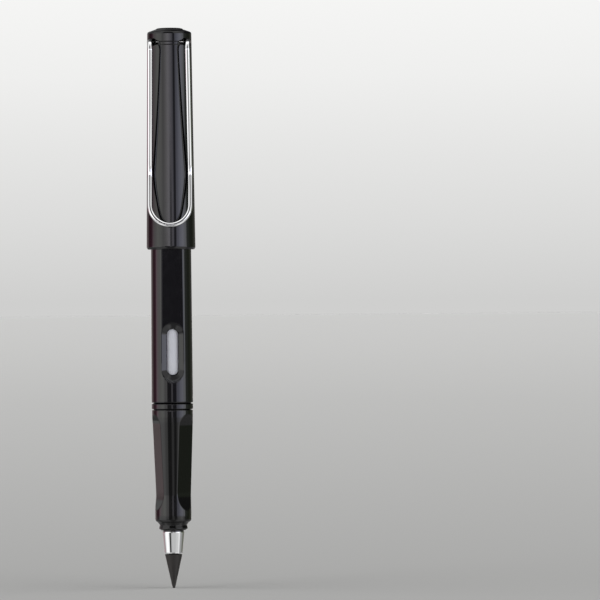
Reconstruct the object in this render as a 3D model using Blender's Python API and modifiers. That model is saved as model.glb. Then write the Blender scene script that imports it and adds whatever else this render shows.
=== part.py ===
"""An everlasting pencil: an inkless pencil with a graphite-alloy tip in a fountain-pen shaped body.

The pencil stands on its writing tip with the cap pushed on the back of the barrel and the
clip facing -Y. The origin is the writing point, on the pencil's axis, and +Z runs up the axis.
Heights follow one another from the tip upwards, each from the piece that it seats on.
"""

import math

import bmesh
import bpy
from mathutils import Matrix, Vector

MM = 0.001
OBJECT_NAME = "everlasting_pencil"

# Clearances
SEAT_GAP = 0.3 * MM
THREAD_CLEARANCE = 0.3 * MM
POSTING_CLEARANCE = 0.18 * MM

# Writing tip: a cone with a small worn flat, and the stem that holds it
TIP_LENGTH = 9.9 * MM
TIP_BACK_RADIUS = 2.54 * MM
TIP_POINT_RADIUS = 0.28 * MM
TIP_ROUNDING = 0.9 * MM
TIP_EDGE = 0.12 * MM
TIP_STEM_RADIUS = 0.85 * MM
TIP_STEM_LENGTH = 6.8 * MM

# Ferrule, and the threaded stud inside it
FERRULE_LENGTH = 6.4 * MM
FERRULE_FRONT_RADIUS = 2.56 * MM
FERRULE_BACK_RADIUS = 3.17 * MM
FERRULE_EDGE = 0.14 * MM
STUD_NECK_RADIUS = 1.75 * MM
STUD_THREAD_RADIUS = 2.1 * MM
STUD_THREAD_LENGTH = 8.2 * MM
STUD_EDGE = 0.3 * MM

# Grip section
GRIP_LENGTH = 35.2 * MM
GRIP_STEP = 0.07 * MM
GRIP_BACK_STRAIGHT = 2.8 * MM
GRIP_WAIST_RADIUS = 5.19 * MM
GRIP_WAIST_FROM_NOSE = 10.4 * MM
GRIP_FLARE_RADIUS = 5.27 * MM
GRIP_FLARE_FROM_NOSE = 4.6 * MM
GRIP_SHOULDER_ROUNDING = 0.9 * MM
GRIP_NECK_RADIUS = 3.92 * MM
GRIP_NECK_FROM_NOSE = 1.55 * MM
GRIP_SHOULDER_FROM_NOSE = 2.4 * MM
GRIP_LIP_RADIUS = 4.17 * MM
GRIP_LIP_FROM_NOSE = 0.75 * MM
GRIP_NOSE_FACE_RADIUS = 3.45 * MM
GRIP_BORE_RADIUS = 2.9 * MM
GRIP_EDGE = 0.15 * MM
GRIP_BACK_EDGE = 0.06 * MM
GRIP_TURN = math.radians(-7.5)

# Finger flats on the grip
FINGER_FLAT_ANGLE = math.radians(60.0)
FINGER_FLAT_BACK_DEPTH = 0.88 * MM
FINGER_FLAT_FRONT_DEPTH = 1.08 * MM
FINGER_FLAT_BACK_FROM_TOP = 4.9 * MM
FINGER_FLAT_FRONT_FROM_NOSE = 11.4 * MM
FINGER_FLAT_BACK_CURVE = 8.0 * MM
FINGER_FLAT_FRONT_CURVE = 11.0 * MM

# Threaded spigot on the grip's back, and the ring round it
SPIGOT_LENGTH = 7.0 * MM
SPIGOT_RADIUS = 4.6 * MM
RING_HEIGHT = 1.55 * MM
RING_FRONT_EDGE = 0.06 * MM
RING_BACK_EDGE = 0.14 * MM

# Barrel
BARREL_LENGTH = 72.25 * MM
BARREL_FRONT_RADIUS = 6.02 * MM
BARREL_BACK_RADIUS = 5.77 * MM
BARREL_EDGE = 0.15 * MM
BARREL_FLAT_DEPTH = 1.0 * MM
BARREL_THREAD_DEPTH = 5.5 * MM
BARREL_TURN = math.radians(4.0)

# Inner tube that shows through the windows
TUBE_RADIUS = 3.85 * MM
TUBE_WALL = 0.7 * MM

# Windows, one on the front flat and one on the back flat
WINDOW_WIDTH = 3.3 * MM
WINDOW_LENGTH = 13.3 * MM
WINDOW_FROM_FRONT = 8.15 * MM
WINDOW_OVERCUT = 0.1 * MM
WINDOW_END_DEPTH = 2.2 * MM
WINDOW_END_SLOPE = 0.62

# Barrel end plug
PLUG_HEAD_RADIUS = 4.75 * MM
PLUG_HEAD_HEIGHT = 1.0 * MM
PLUG_STEM_LENGTH = 4.3 * MM
PLUG_EDGE = 0.3 * MM

# Cap shell
POSTING_DEPTH = 28.4 * MM
CAP_RIM_WALL = 0.93 * MM
CAP_RIM_HEIGHT = 2.2 * MM
CAP_RIM_EDGE = 0.4 * MM
CAP_HEAD_WALL = 1.1 * MM
CAP_HEAD_ROUNDING = 0.7 * MM
CAP_HEAD_SLOPE = math.radians(19.5)
CAP_BORE_TAPER = 0.22 * MM
CAP_BEAD_HEIGHT = 0.12 * MM
CAP_BEAD_FROM_RIM = 1.8 * MM
CAP_BEAD_HALF_LENGTH = 0.5 * MM
CAP_PLATE = 1.0 * MM
CAP_STEP_LENGTH = 1.7 * MM

# Inner cap
LINER_WALL = 0.5 * MM
LINER_NOSE_CLEARANCE = 0.38 * MM
LINER_TIP_ROOM = 1.1 * MM
LINER_TOP = 3.95 * MM
LINER_STEM_DEPTH = 2.4 * MM
LINER_EDGE = 0.2 * MM

# Finial: the disc on the cap's head and its stem
FINIAL_RADIUS = 4.05 * MM
FINIAL_PROUD = 0.51 * MM
FINIAL_SEAT_DEPTH = 1.36 * MM
FINIAL_FLAT_RADIUS = 3.0 * MM
FINIAL_CROWN = 0.36 * MM
FINIAL_STEM_RADIUS = 1.7 * MM

# Clip: one wire, bent
WIRE_RADIUS = 0.73 * MM
CLIP_TOP_HALF_WIDTH = 5.42 * MM
CLIP_KNEE_HALF_WIDTH = 5.86 * MM
CLIP_END_ABOVE_RIM = 6.65 * MM
CLIP_KNEE_ABOVE_END = 13.35 * MM
CLIP_U_SLOPE = 0.31
CLIP_TOP_OUT = 9.0 * MM
CLIP_TOP_BEND = 1.7 * MM
CLIP_KNEE_BEND = 21.0 * MM
CLIP_ENTRY_OUT = 4.6 * MM
CLIP_ENTRY_HALF_WIDTH = 5.72 * MM
CLIP_ENTRY_BEND = 1.5 * MM
CLIP_PIVOT_BACK = 1.2 * MM
CLIP_END_CLEARANCE = 0.3 * MM
CLIP_ROOM_ABOVE = 0.4 * MM

# Side slots for the clip, and the band between them
SLOT_INNER_HALF_WIDTH = 3.0 * MM
SLOT_CLEARANCE = 0.37 * MM
SLOT_FRONT = 5.75 * MM
SLOT_POINT = 0.9 * MM
SLOT_BACK = 2.2 * MM
BAND_DEPTH = 0.2 * MM
BAND_HEIGHT = 0.9 * MM
BAND_BELOW_PIVOT = 0.75 * MM
BAND_HALF_WIDTH = 3.9 * MM

# Facets
FINE_STEPS = 64
MIDDLE_STEPS = 48
SMALL_STEPS = 32
SHARP_ANGLE = math.radians(32.0)
MERGE = 0.001 * MM
REACH = 15.0 * MM

# Heights from the writing point, and radii, that follow from the sizes above
FERRULE_Z = TIP_LENGTH + SEAT_GAP
FERRULE_TOP_Z = FERRULE_Z + FERRULE_LENGTH
GRIP_Z = FERRULE_TOP_Z + SEAT_GAP
GRIP_TOP_Z = GRIP_Z + GRIP_LENGTH
GRIP_SHOULDER_Z = GRIP_Z + GRIP_SHOULDER_FROM_NOSE
SPIGOT_TOP_Z = GRIP_TOP_Z + SPIGOT_LENGTH
RING_Z = GRIP_TOP_Z + SEAT_GAP
BARREL_Z = RING_Z + RING_HEIGHT + SEAT_GAP
BARREL_TOP_Z = BARREL_Z + BARREL_LENGTH
WINDOW_Z = BARREL_Z + WINDOW_FROM_FRONT
TUBE_Z = SPIGOT_TOP_Z + SEAT_GAP
PLUG_Z = BARREL_TOP_Z + SEAT_GAP
PLUG_TOP_Z = PLUG_Z + PLUG_HEAD_HEIGHT
PLUG_STEM_Z = PLUG_Z - PLUG_STEM_LENGTH
CAP_Z = PLUG_TOP_Z - POSTING_DEPTH
LINER_Z = CAP_Z + BARREL_Z - GRIP_SHOULDER_Z + SEAT_GAP
LINER_CEILING_Z = CAP_Z + BARREL_Z + LINER_TIP_ROOM
LINER_TOP_Z = LINER_CEILING_Z + LINER_TOP
PIVOT_Z = LINER_TOP_Z + SEAT_GAP + WIRE_RADIUS
CAP_CEILING_Z = PIVOT_Z + WIRE_RADIUS + CLIP_ROOM_ABOVE
FINIAL_SEAT_Z = CAP_CEILING_Z + CAP_PLATE
CAP_TOP_Z = FINIAL_SEAT_Z + FINIAL_SEAT_DEPTH
FINIAL_TOP_Z = CAP_TOP_Z + FINIAL_PROUD
CLIP_END_Z = CAP_Z + CLIP_END_ABOVE_RIM
CLIP_KNEE_Z = CLIP_END_Z + CLIP_KNEE_ABOVE_END
CLIP_U_Z = CLIP_END_Z + CLIP_KNEE_HALF_WIDTH

GRIP_BACK_RADIUS = BARREL_FRONT_RADIUS - GRIP_STEP
FLAT_DISTANCE = BARREL_FRONT_RADIUS - BARREL_FLAT_DEPTH
FLAT_HALF_WIDTH = math.sqrt(BARREL_FRONT_RADIUS**2 - FLAT_DISTANCE**2)
BARREL_BORE_RADIUS = TUBE_RADIUS + SEAT_GAP
CAP_BORE_RADIUS = BARREL_FRONT_RADIUS + POSTING_CLEARANCE
CAP_RIM_RADIUS = CAP_BORE_RADIUS + CAP_RIM_WALL
LINER_BORE_RADIUS = GRIP_LIP_RADIUS + LINER_NOSE_CLEARANCE
LINER_RADIUS = LINER_BORE_RADIUS + LINER_WALL
CAP_HEAD_BORE_RADIUS = LINER_RADIUS + SEAT_GAP
CAP_HEAD_RADIUS = CAP_HEAD_BORE_RADIUS + CAP_HEAD_WALL
FINIAL_SEAT_RADIUS = FINIAL_RADIUS + SEAT_GAP
CAP_SLOPE_END_RADIUS = CAP_HEAD_RADIUS - CAP_HEAD_ROUNDING * (1.0 - math.sin(CAP_HEAD_SLOPE))
CAP_SLOPE_END_Z = CAP_TOP_Z - (CAP_SLOPE_END_RADIUS - FINIAL_SEAT_RADIUS) * math.tan(CAP_HEAD_SLOPE)
CAP_SHOULDER_Z = CAP_SLOPE_END_Z - CAP_HEAD_ROUNDING * math.cos(CAP_HEAD_SLOPE)


def between(value, start, end, first, last):
    """The straight-line value at a height between two heights, first at start and last at end."""
    return first + (last - first) * (value - start) / (end - start)


def cap_radius(z):
    """The cap's outer radius: straight at the rim and the head, tapered between them."""
    low = CAP_Z + CAP_RIM_HEIGHT
    high = CAP_SHOULDER_Z
    return between(min(max(z, low), high), low, high, CAP_RIM_RADIUS, CAP_HEAD_RADIUS)


def grip_radius(z):
    """The grip's round outer radius between its back and its waist."""
    low = GRIP_Z + GRIP_WAIST_FROM_NOSE
    high = GRIP_TOP_Z - GRIP_BACK_STRAIGHT
    return between(min(max(z, low), high), low, high, GRIP_WAIST_RADIUS, GRIP_BACK_RADIUS)


def arc(centre_x, centre_y, radius, start, end, count):
    """Points on an arc, from one angle in degrees to another, both ends included."""
    points = []
    for i in range(count + 1):
        angle = math.radians(start + (end - start) * i / count)
        points.append((centre_x + radius * math.cos(angle), centre_y + radius * math.sin(angle)))
    return points


def clear_scene():
    for obj in list(bpy.data.objects):
        bpy.data.objects.remove(obj, do_unlink=True)


def new_collection(name):
    collection = bpy.data.collections.new(name)
    bpy.context.scene.collection.children.link(collection)
    return collection


def new_material(name, colour, roughness, metallic=0.0, coat=0.0):
    material = bpy.data.materials.new(name)
    material.use_nodes = True
    shader = material.node_tree.nodes["Principled BSDF"]
    shader.inputs["Base Color"].default_value = (*colour, 1.0)
    shader.inputs["Roughness"].default_value = roughness
    shader.inputs["Metallic"].default_value = metallic
    shader.inputs["Coat Weight"].default_value = coat
    return material


def gloss_black():
    return new_material("gloss_black", (0.008, 0.008, 0.010), 0.12, coat=0.3)


def grip_black():
    return new_material("grip_black", (0.009, 0.009, 0.009), 0.2, coat=0.2)


def satin_black():
    return new_material("satin_black", (0.012, 0.012, 0.013), 0.45)


def bright_chrome():
    return new_material("bright_chrome", (0.82, 0.83, 0.84), 0.06, metallic=1.0)


def graphite_alloy():
    return new_material("graphite_alloy", (0.065, 0.058, 0.055), 0.55, metallic=0.3)


def milky_plastic():
    return new_material("milky_plastic", (0.60, 0.61, 0.69), 0.35)


def turned_steel():
    return new_material("turned_steel", (0.45, 0.44, 0.42), 0.3, metallic=1.0)


def joint_empty(name, location, parent=None):
    """An empty on a joint's axis. The pieces that the joint moves are its children."""
    empty = bpy.data.objects.new(name, None)
    empty.empty_display_size = 4.0 * MM
    PARTS.objects.link(empty)
    empty.parent = parent
    parent_world = parent.matrix_world if parent else Matrix.Identity(4)
    empty.matrix_basis = parent_world.inverted() @ Matrix.Translation(location)
    bpy.context.view_layer.update()
    return empty


def hang(obj, joint):
    """Parents a piece to its joint's empty, with its mesh kept in the pencil's own frame."""
    obj.parent = joint
    obj.matrix_basis = joint.matrix_world.inverted()
    return obj


def as_mesh(guide, name, collection, material=None):
    """Turns an object with modifiers, or a curve, into a mesh object with its seams welded."""
    bpy.context.view_layer.update()
    evaluated = guide.evaluated_get(bpy.context.evaluated_depsgraph_get())
    mesh = bpy.data.meshes.new_from_object(evaluated)
    work = bmesh.new()
    work.from_mesh(mesh)
    bmesh.ops.remove_doubles(work, verts=work.verts, dist=MERGE)
    bmesh.ops.recalc_face_normals(work, faces=work.faces)
    work.to_mesh(mesh)
    work.free()
    mesh.name = name
    mesh.shade_smooth()
    mesh.set_sharp_from_angle(angle=SHARP_ANGLE)
    mesh.materials.clear()
    if material:
        mesh.materials.append(material)
    solid = bpy.data.objects.new(name, mesh)
    solid.matrix_world = guide.matrix_world
    collection.objects.link(solid)
    bpy.data.objects.remove(guide, do_unlink=True)
    return solid


def turned(name, profile, steps, collection, material=None, closed=True):
    """A turned solid: a profile of (radius, height) down its outer side, spun by a Screw modifier."""
    mesh = bpy.data.meshes.new(name + "_profile")
    edges = [(i, i + 1) for i in range(len(profile) - 1)]
    if closed:
        edges.append((len(profile) - 1, 0))
    mesh.from_pydata([(radius, 0.0, z) for radius, z in profile], edges, [])
    guide = bpy.data.objects.new(name + "_profile", mesh)
    collection.objects.link(guide)
    screw = guide.modifiers.new("Screw", "SCREW")
    screw.steps = steps
    screw.render_steps = steps
    screw.use_merge_vertices = True
    screw.merge_threshold = MERGE
    return as_mesh(guide, name, collection, material)


def prism(name, outline, half_depth, matrix):
    """A flat outline extruded both ways, as a cutter. The outline's plane is the matrix's XY plane."""
    curve = bpy.data.curves.new(name, "CURVE")
    curve.dimensions = "2D"
    curve.fill_mode = "BOTH"
    curve.extrude = half_depth
    spline = curve.splines.new("POLY")
    spline.points.add(len(outline) - 1)
    for point, (x, y) in zip(spline.points, outline):
        point.co = (x, y, 0.0, 1.0)
    spline.use_cyclic_u = True
    guide = bpy.data.objects.new(name + "_outline", curve)
    guide.matrix_world = matrix
    CUTTERS.objects.link(guide)
    return as_cutter(as_mesh(guide, name, CUTTERS))


def as_cutter(obj):
    obj.hide_render = True
    obj.display_type = "WIRE"
    return obj


def cut(target, cutter):
    boolean = target.modifiers.new(cutter.name, "BOOLEAN")
    boolean.operation = "DIFFERENCE"
    boolean.solver = "EXACT"
    boolean.object = cutter


def finish_cuts(obj):
    """Keeps the cut shape as the object's own mesh, with its new edges shaded sharp."""
    bpy.context.view_layer.update()
    mesh = bpy.data.meshes.new_from_object(obj.evaluated_get(bpy.context.evaluated_depsgraph_get()))
    obj.modifiers.clear()
    obj.data = mesh
    mesh.name = obj.name
    mesh.shade_smooth()
    mesh.set_sharp_from_angle(angle=SHARP_ANGLE)
    return obj


def facing(angle):
    """The frame of a flat outline that is drawn outwards and upwards, turned round the axis from -Y."""
    outwards = Vector((math.sin(angle), -math.cos(angle), 0.0))
    upwards = Vector((0.0, 0.0, 1.0))
    across = outwards.cross(upwards)
    return Matrix((outwards, upwards, across)).transposed().to_4x4()


def seen_from_front():
    """The frame of a flat outline that is drawn as the clip's side shows it: X across, Z up."""
    return Matrix(((1, 0, 0), (0, 0, -1), (0, 1, 0))).to_4x4()


def lofted(name, rings):
    """A cutter bridged from ring to ring of points, with both ends filled."""
    work = bmesh.new()
    loops = []
    for ring in rings:
        verts = [work.verts.new(point) for point in ring]
        loops.append([work.edges.new((a, b)) for a, b in zip(verts, verts[1:] + verts[:1])])
    for lower, upper in zip(loops, loops[1:]):
        bmesh.ops.bridge_loops(work, edges=lower + upper)
    bmesh.ops.edgenet_fill(work, edges=loops[0])
    bmesh.ops.edgenet_fill(work, edges=loops[-1])
    bmesh.ops.recalc_face_normals(work, faces=work.faces)
    mesh = bpy.data.meshes.new(name)
    work.to_mesh(mesh)
    work.free()
    obj = bpy.data.objects.new(name, mesh)
    CUTTERS.objects.link(obj)
    return as_cutter(obj)


def make_writing_tip(joint):
    """The cone that writes. Its point is rounded to a small worn flat, its back has a thin edge."""
    slope = (TIP_BACK_RADIUS - TIP_POINT_RADIUS) / TIP_LENGTH
    rounding_top = TIP_POINT_RADIUS + slope * TIP_ROUNDING
    stem_top = TIP_LENGTH + TIP_STEM_LENGTH
    profile = [
        (0.0, stem_top),
        (TIP_STEM_RADIUS, stem_top),
        (TIP_STEM_RADIUS, TIP_LENGTH),
        (TIP_BACK_RADIUS - TIP_EDGE, TIP_LENGTH),
        (TIP_BACK_RADIUS, TIP_LENGTH - TIP_EDGE),
        (rounding_top, TIP_ROUNDING),
        (rounding_top * 0.88, TIP_ROUNDING * 0.35),
        (TIP_POINT_RADIUS, 0.0),
        (0.0, 0.0),
    ]
    tip = turned("writing_tip", profile, SMALL_STEPS, PARTS, graphite_alloy(), closed=False)
    return hang(tip, joint)


def make_tip_ferrule(joint):
    bore = STUD_NECK_RADIUS + SEAT_GAP
    profile = [
        (FERRULE_BACK_RADIUS - FERRULE_EDGE, FERRULE_TOP_Z),
        (FERRULE_BACK_RADIUS, FERRULE_TOP_Z - FERRULE_EDGE),
        (FERRULE_FRONT_RADIUS, FERRULE_Z + FERRULE_EDGE),
        (FERRULE_FRONT_RADIUS - FERRULE_EDGE, FERRULE_Z),
        (bore, FERRULE_Z),
        (bore, FERRULE_TOP_Z),
    ]
    ferrule = turned("tip_ferrule", profile, MIDDLE_STEPS, PARTS, bright_chrome())
    return hang(ferrule, joint)


def make_tip_stud(joint):
    """The stud that holds the tip's stem and screws into the grip. Its shoulder traps the ferrule."""
    shoulder = FERRULE_TOP_Z + SEAT_GAP
    top = shoulder + STUD_THREAD_LENGTH
    bore = TIP_STEM_RADIUS + SEAT_GAP
    bore_top = TIP_LENGTH + TIP_STEM_LENGTH + SEAT_GAP
    profile = [
        (0.0, top),
        (STUD_THREAD_RADIUS - STUD_EDGE, top),
        (STUD_THREAD_RADIUS, top - STUD_EDGE),
        (STUD_THREAD_RADIUS, shoulder),
        (STUD_NECK_RADIUS, shoulder),
        (STUD_NECK_RADIUS, FERRULE_Z),
        (bore, FERRULE_Z),
        (bore, bore_top),
        (0.0, bore_top),
    ]
    stud = turned("tip_stud", profile, SMALL_STEPS, PARTS, turned_steel(), closed=False)
    return hang(stud, joint)


def grip_profile():
    """The spigot, the long taper to the waist, the flare, the rounded shoulder, the neck and the lip."""
    nose_bore = STUD_THREAD_RADIUS + THREAD_CLEARANCE
    bore_step = GRIP_Z + SEAT_GAP + STUD_THREAD_LENGTH + SEAT_GAP
    flare_z = GRIP_Z + GRIP_FLARE_FROM_NOSE
    waist_z = GRIP_Z + GRIP_WAIST_FROM_NOSE
    neck_z = GRIP_Z + GRIP_NECK_FROM_NOSE
    lip_z = GRIP_Z + GRIP_LIP_FROM_NOSE
    rounding_x = GRIP_FLARE_RADIUS - GRIP_SHOULDER_ROUNDING
    rounding_z = GRIP_SHOULDER_Z + GRIP_SHOULDER_ROUNDING
    shoulder = arc(rounding_x, rounding_z, GRIP_SHOULDER_ROUNDING, 0.0, -75.0, 4)
    waist = []
    for i in range(5):
        ease = 0.5 - 0.5 * math.cos(math.pi * i / 4)
        height = waist_z + (flare_z - waist_z) * i / 4
        waist.append((GRIP_WAIST_RADIUS + (GRIP_FLARE_RADIUS - GRIP_WAIST_RADIUS) * ease, height))
    return [
        (SPIGOT_RADIUS - GRIP_EDGE, SPIGOT_TOP_Z),
        (SPIGOT_RADIUS, SPIGOT_TOP_Z - GRIP_EDGE),
        (SPIGOT_RADIUS, GRIP_TOP_Z),
        (GRIP_BACK_RADIUS - GRIP_BACK_EDGE, GRIP_TOP_Z),
        (GRIP_BACK_RADIUS, GRIP_TOP_Z - GRIP_BACK_EDGE),
        (GRIP_BACK_RADIUS, GRIP_TOP_Z - GRIP_BACK_STRAIGHT),
        *waist,
        *shoulder,
        (GRIP_NECK_RADIUS + 0.2 * MM, between(0.6, 0.0, 1.0, neck_z, GRIP_SHOULDER_Z)),
        (GRIP_NECK_RADIUS, neck_z),
        (GRIP_LIP_RADIUS, lip_z),
        (GRIP_LIP_RADIUS - GRIP_EDGE, lip_z - 2.0 * GRIP_EDGE),
        (GRIP_NOSE_FACE_RADIUS, GRIP_Z),
        (nose_bore, GRIP_Z),
        (nose_bore, bore_step),
        (GRIP_BORE_RADIUS, bore_step + GRIP_BORE_RADIUS - nose_bore),
        (GRIP_BORE_RADIUS, SPIGOT_TOP_Z),
    ]


def finger_flat_outline():
    """What a finger flat takes away, outwards and upwards: a straight floor that curves out at both ends."""
    back_z = GRIP_TOP_Z - FINGER_FLAT_BACK_FROM_TOP
    front_z = GRIP_Z + FINGER_FLAT_FRONT_FROM_NOSE
    back = grip_radius(back_z) - FINGER_FLAT_BACK_DEPTH
    front = grip_radius(front_z) - FINGER_FLAT_FRONT_DEPTH
    tilt = math.degrees(math.atan2(back - front, back_z - front_z))
    start = 180.0 - tilt
    normal_x = math.cos(math.radians(tilt))
    normal_z = -math.sin(math.radians(tilt))
    low = arc(
        front + FINGER_FLAT_FRONT_CURVE * normal_x,
        front_z + FINGER_FLAT_FRONT_CURVE * normal_z,
        FINGER_FLAT_FRONT_CURVE, start + 55.0, start, 10,
    )
    high = arc(
        back + FINGER_FLAT_BACK_CURVE * normal_x,
        back_z + FINGER_FLAT_BACK_CURVE * normal_z,
        FINGER_FLAT_BACK_CURVE, start, start - 60.0, 9,
    )
    return [(REACH, low[0][1]), *low, *high, (REACH, high[-1][1])]


def make_grip_section(joint):
    grip = turned("grip_section", grip_profile(), MIDDLE_STEPS, PARTS, grip_black())
    for side, name in ((-1, "finger_flat_left_cutter"), (1, "finger_flat_right_cutter")):
        angle = GRIP_TURN + side * FINGER_FLAT_ANGLE
        cut(grip, prism(name, finger_flat_outline(), REACH, facing(angle)))
    return hang(finish_cuts(grip), joint)


def make_cap_snap_ring(joint):
    top = RING_Z + RING_HEIGHT
    bore = SPIGOT_RADIUS + SEAT_GAP
    profile = [
        (BARREL_FRONT_RADIUS - RING_BACK_EDGE, top),
        (BARREL_FRONT_RADIUS, top - RING_BACK_EDGE),
        (BARREL_FRONT_RADIUS, RING_Z + RING_FRONT_EDGE),
        (BARREL_FRONT_RADIUS - RING_FRONT_EDGE, RING_Z),
        (bore, RING_Z),
        (bore, top),
    ]
    ring = turned("cap_snap_ring", profile, MIDDLE_STEPS, PARTS, satin_black())
    return hang(ring, joint)


def make_inner_tube(joint):
    """A closed-ended sleeve that lines the barrel behind both windows, from the spigot to the plug."""
    top = PLUG_STEM_Z - SEAT_GAP
    bore = TUBE_RADIUS - TUBE_WALL
    profile = [
        (0.0, top),
        (TUBE_RADIUS - TUBE_WALL, top),
        (TUBE_RADIUS, top - TUBE_WALL),
        (TUBE_RADIUS, TUBE_Z),
        (bore, TUBE_Z),
        (bore, top - 2.0 * TUBE_WALL),
        (0.0, top - TUBE_WALL),
    ]
    tube = turned("inner_tube", profile, SMALL_STEPS, PARTS, milky_plastic(), closed=False)
    return hang(tube, joint)


def barrel_profile():
    thread_bore = SPIGOT_RADIUS + THREAD_CLEARANCE
    thread_top = BARREL_Z + BARREL_THREAD_DEPTH
    return [
        (BARREL_BACK_RADIUS - BARREL_EDGE, BARREL_TOP_Z),
        (BARREL_BACK_RADIUS, BARREL_TOP_Z - BARREL_EDGE),
        (BARREL_FRONT_RADIUS, BARREL_Z + BARREL_EDGE),
        (BARREL_FRONT_RADIUS - BARREL_EDGE, BARREL_Z),
        (thread_bore, BARREL_Z),
        (thread_bore, thread_top),
        (BARREL_BORE_RADIUS, thread_top + thread_bore - BARREL_BORE_RADIUS),
        (BARREL_BORE_RADIUS, BARREL_TOP_Z),
    ]


def slot_ring(angle, depth, offset):
    """A ring round the window's oblong, widened by an offset, at a distance from the axis."""
    radius = WINDOW_WIDTH / 2 + offset
    low = WINDOW_Z + WINDOW_WIDTH / 2
    high = WINDOW_Z + WINDOW_LENGTH - WINDOW_WIDTH / 2
    outline = arc(0.0, high, radius, 0.0, 180.0, 12) + arc(0.0, low, radius, 180.0, 360.0, 12)
    frame = Matrix.Rotation(angle, 4, "Z")
    return [frame @ Vector((x, -depth, z)) for x, z in outline]


def window_cutter(name, angle):
    """The oblong hole, the slope round it up to the flat, and the sloped lower end of the flat."""
    to_flat = FLAT_HALF_WIDTH - WINDOW_WIDTH / 2
    spread = to_flat / (FLAT_DISTANCE - BARREL_BORE_RADIUS)
    kink = to_flat + WINDOW_OVERCUT * spread
    rings = [
        slot_ring(angle, TUBE_RADIUS - TUBE_WALL, 0.0),
        slot_ring(angle, BARREL_BORE_RADIUS, 0.0),
        slot_ring(angle, FLAT_DISTANCE + WINDOW_OVERCUT, kink),
        slot_ring(angle, FLAT_DISTANCE + WINDOW_END_DEPTH, kink + WINDOW_END_DEPTH * WINDOW_END_SLOPE),
    ]
    return lofted(name, rings)


def make_barrel(joint):
    """The barrel, with a flat and a window on its front and on its back."""
    barrel = turned("barrel", barrel_profile(), FINE_STEPS, PARTS, gloss_black())
    flat_start = WINDOW_Z + FLAT_HALF_WIDTH
    flat_end = BARREL_TOP_Z + REACH
    outline = [(FLAT_DISTANCE, flat_start), (REACH, flat_start), (REACH, flat_end), (FLAT_DISTANCE, flat_end)]
    for side, name in ((0.0, "front"), (math.pi, "back")):
        angle = BARREL_TURN + side
        cut(barrel, prism(name + "_flat_cutter", outline, REACH, facing(angle)))
        cut(barrel, window_cutter(name + "_window_cutter", angle))
    return hang(finish_cuts(barrel), joint)


def make_barrel_end_plug(joint):
    profile = [
        (0.0, PLUG_TOP_Z),
        (PLUG_HEAD_RADIUS - PLUG_EDGE, PLUG_TOP_Z),
        (PLUG_HEAD_RADIUS, PLUG_TOP_Z - PLUG_EDGE),
        (PLUG_HEAD_RADIUS, PLUG_Z),
        (TUBE_RADIUS, PLUG_Z),
        (TUBE_RADIUS, PLUG_STEM_Z + PLUG_EDGE),
        (TUBE_RADIUS - PLUG_EDGE, PLUG_STEM_Z),
        (0.0, PLUG_STEM_Z),
    ]
    plug = turned("barrel_end_plug", profile, SMALL_STEPS, PARTS, gloss_black(), closed=False)
    return hang(plug, joint)


def cap_profile():
    """The cap's outer taper and sloped head, and its bore with the bead that snaps over the ring."""
    seat = FINIAL_SEAT_RADIUS
    hole = FINIAL_STEM_RADIUS + SEAT_GAP
    bead_z = CAP_Z + CAP_BEAD_FROM_RIM
    step_z = LINER_Z - SEAT_GAP
    bore_top = CAP_BORE_RADIUS - CAP_BORE_TAPER
    rounding_x = CAP_HEAD_RADIUS - CAP_HEAD_ROUNDING
    start = 90.0 - math.degrees(CAP_HEAD_SLOPE)
    return [
        (seat, CAP_TOP_Z),
        *arc(rounding_x, CAP_SHOULDER_Z, CAP_HEAD_ROUNDING, start, 0.0, 4),
        (CAP_RIM_RADIUS, CAP_Z + CAP_RIM_HEIGHT),
        (CAP_RIM_RADIUS, CAP_Z + CAP_RIM_EDGE),
        (CAP_RIM_RADIUS - CAP_RIM_EDGE, CAP_Z),
        (CAP_BORE_RADIUS + CAP_RIM_EDGE, CAP_Z),
        (CAP_BORE_RADIUS, CAP_Z + CAP_RIM_EDGE),
        (CAP_BORE_RADIUS, bead_z - CAP_BEAD_HALF_LENGTH),
        (CAP_BORE_RADIUS - CAP_BEAD_HEIGHT, bead_z),
        (CAP_BORE_RADIUS, bead_z + CAP_BEAD_HALF_LENGTH),
        (bore_top, step_z),
        (CAP_HEAD_BORE_RADIUS, step_z + CAP_STEP_LENGTH),
        (CAP_HEAD_BORE_RADIUS, CAP_CEILING_Z),
        (hole, CAP_CEILING_Z),
        (hole, FINIAL_SEAT_Z),
        (seat, FINIAL_SEAT_Z),
    ]


def cap_core(name, depth):
    """The cap's body as it is at the bottom of a recess of this depth."""
    low = CAP_Z - REACH
    rim_z = CAP_Z + CAP_RIM_HEIGHT
    high = CAP_TOP_Z + REACH
    profile = [
        (0.0, high),
        (CAP_HEAD_RADIUS - depth, high),
        (CAP_HEAD_RADIUS - depth, CAP_SHOULDER_Z),
        (CAP_RIM_RADIUS - depth, rim_z),
        (CAP_RIM_RADIUS - depth, low),
        (0.0, low),
    ]
    return as_cutter(turned(name, profile, FINE_STEPS, CUTTERS, closed=False))


def band_cutter():
    """The shallow band that runs across the cap's front from slot to slot."""
    low = PIVOT_Z - BAND_BELOW_PIVOT
    high = low + BAND_HEIGHT
    half = BAND_HALF_WIDTH
    outline = [(-half, low), (half, low), (half, high), (-half, high)]
    place = Matrix.Translation((0.0, -REACH / 2, 0.0))
    band = prism("band_cutter", outline, REACH / 2, place @ seen_from_front())
    cut(band, cap_core("band_core", BAND_DEPTH))
    return band


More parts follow.
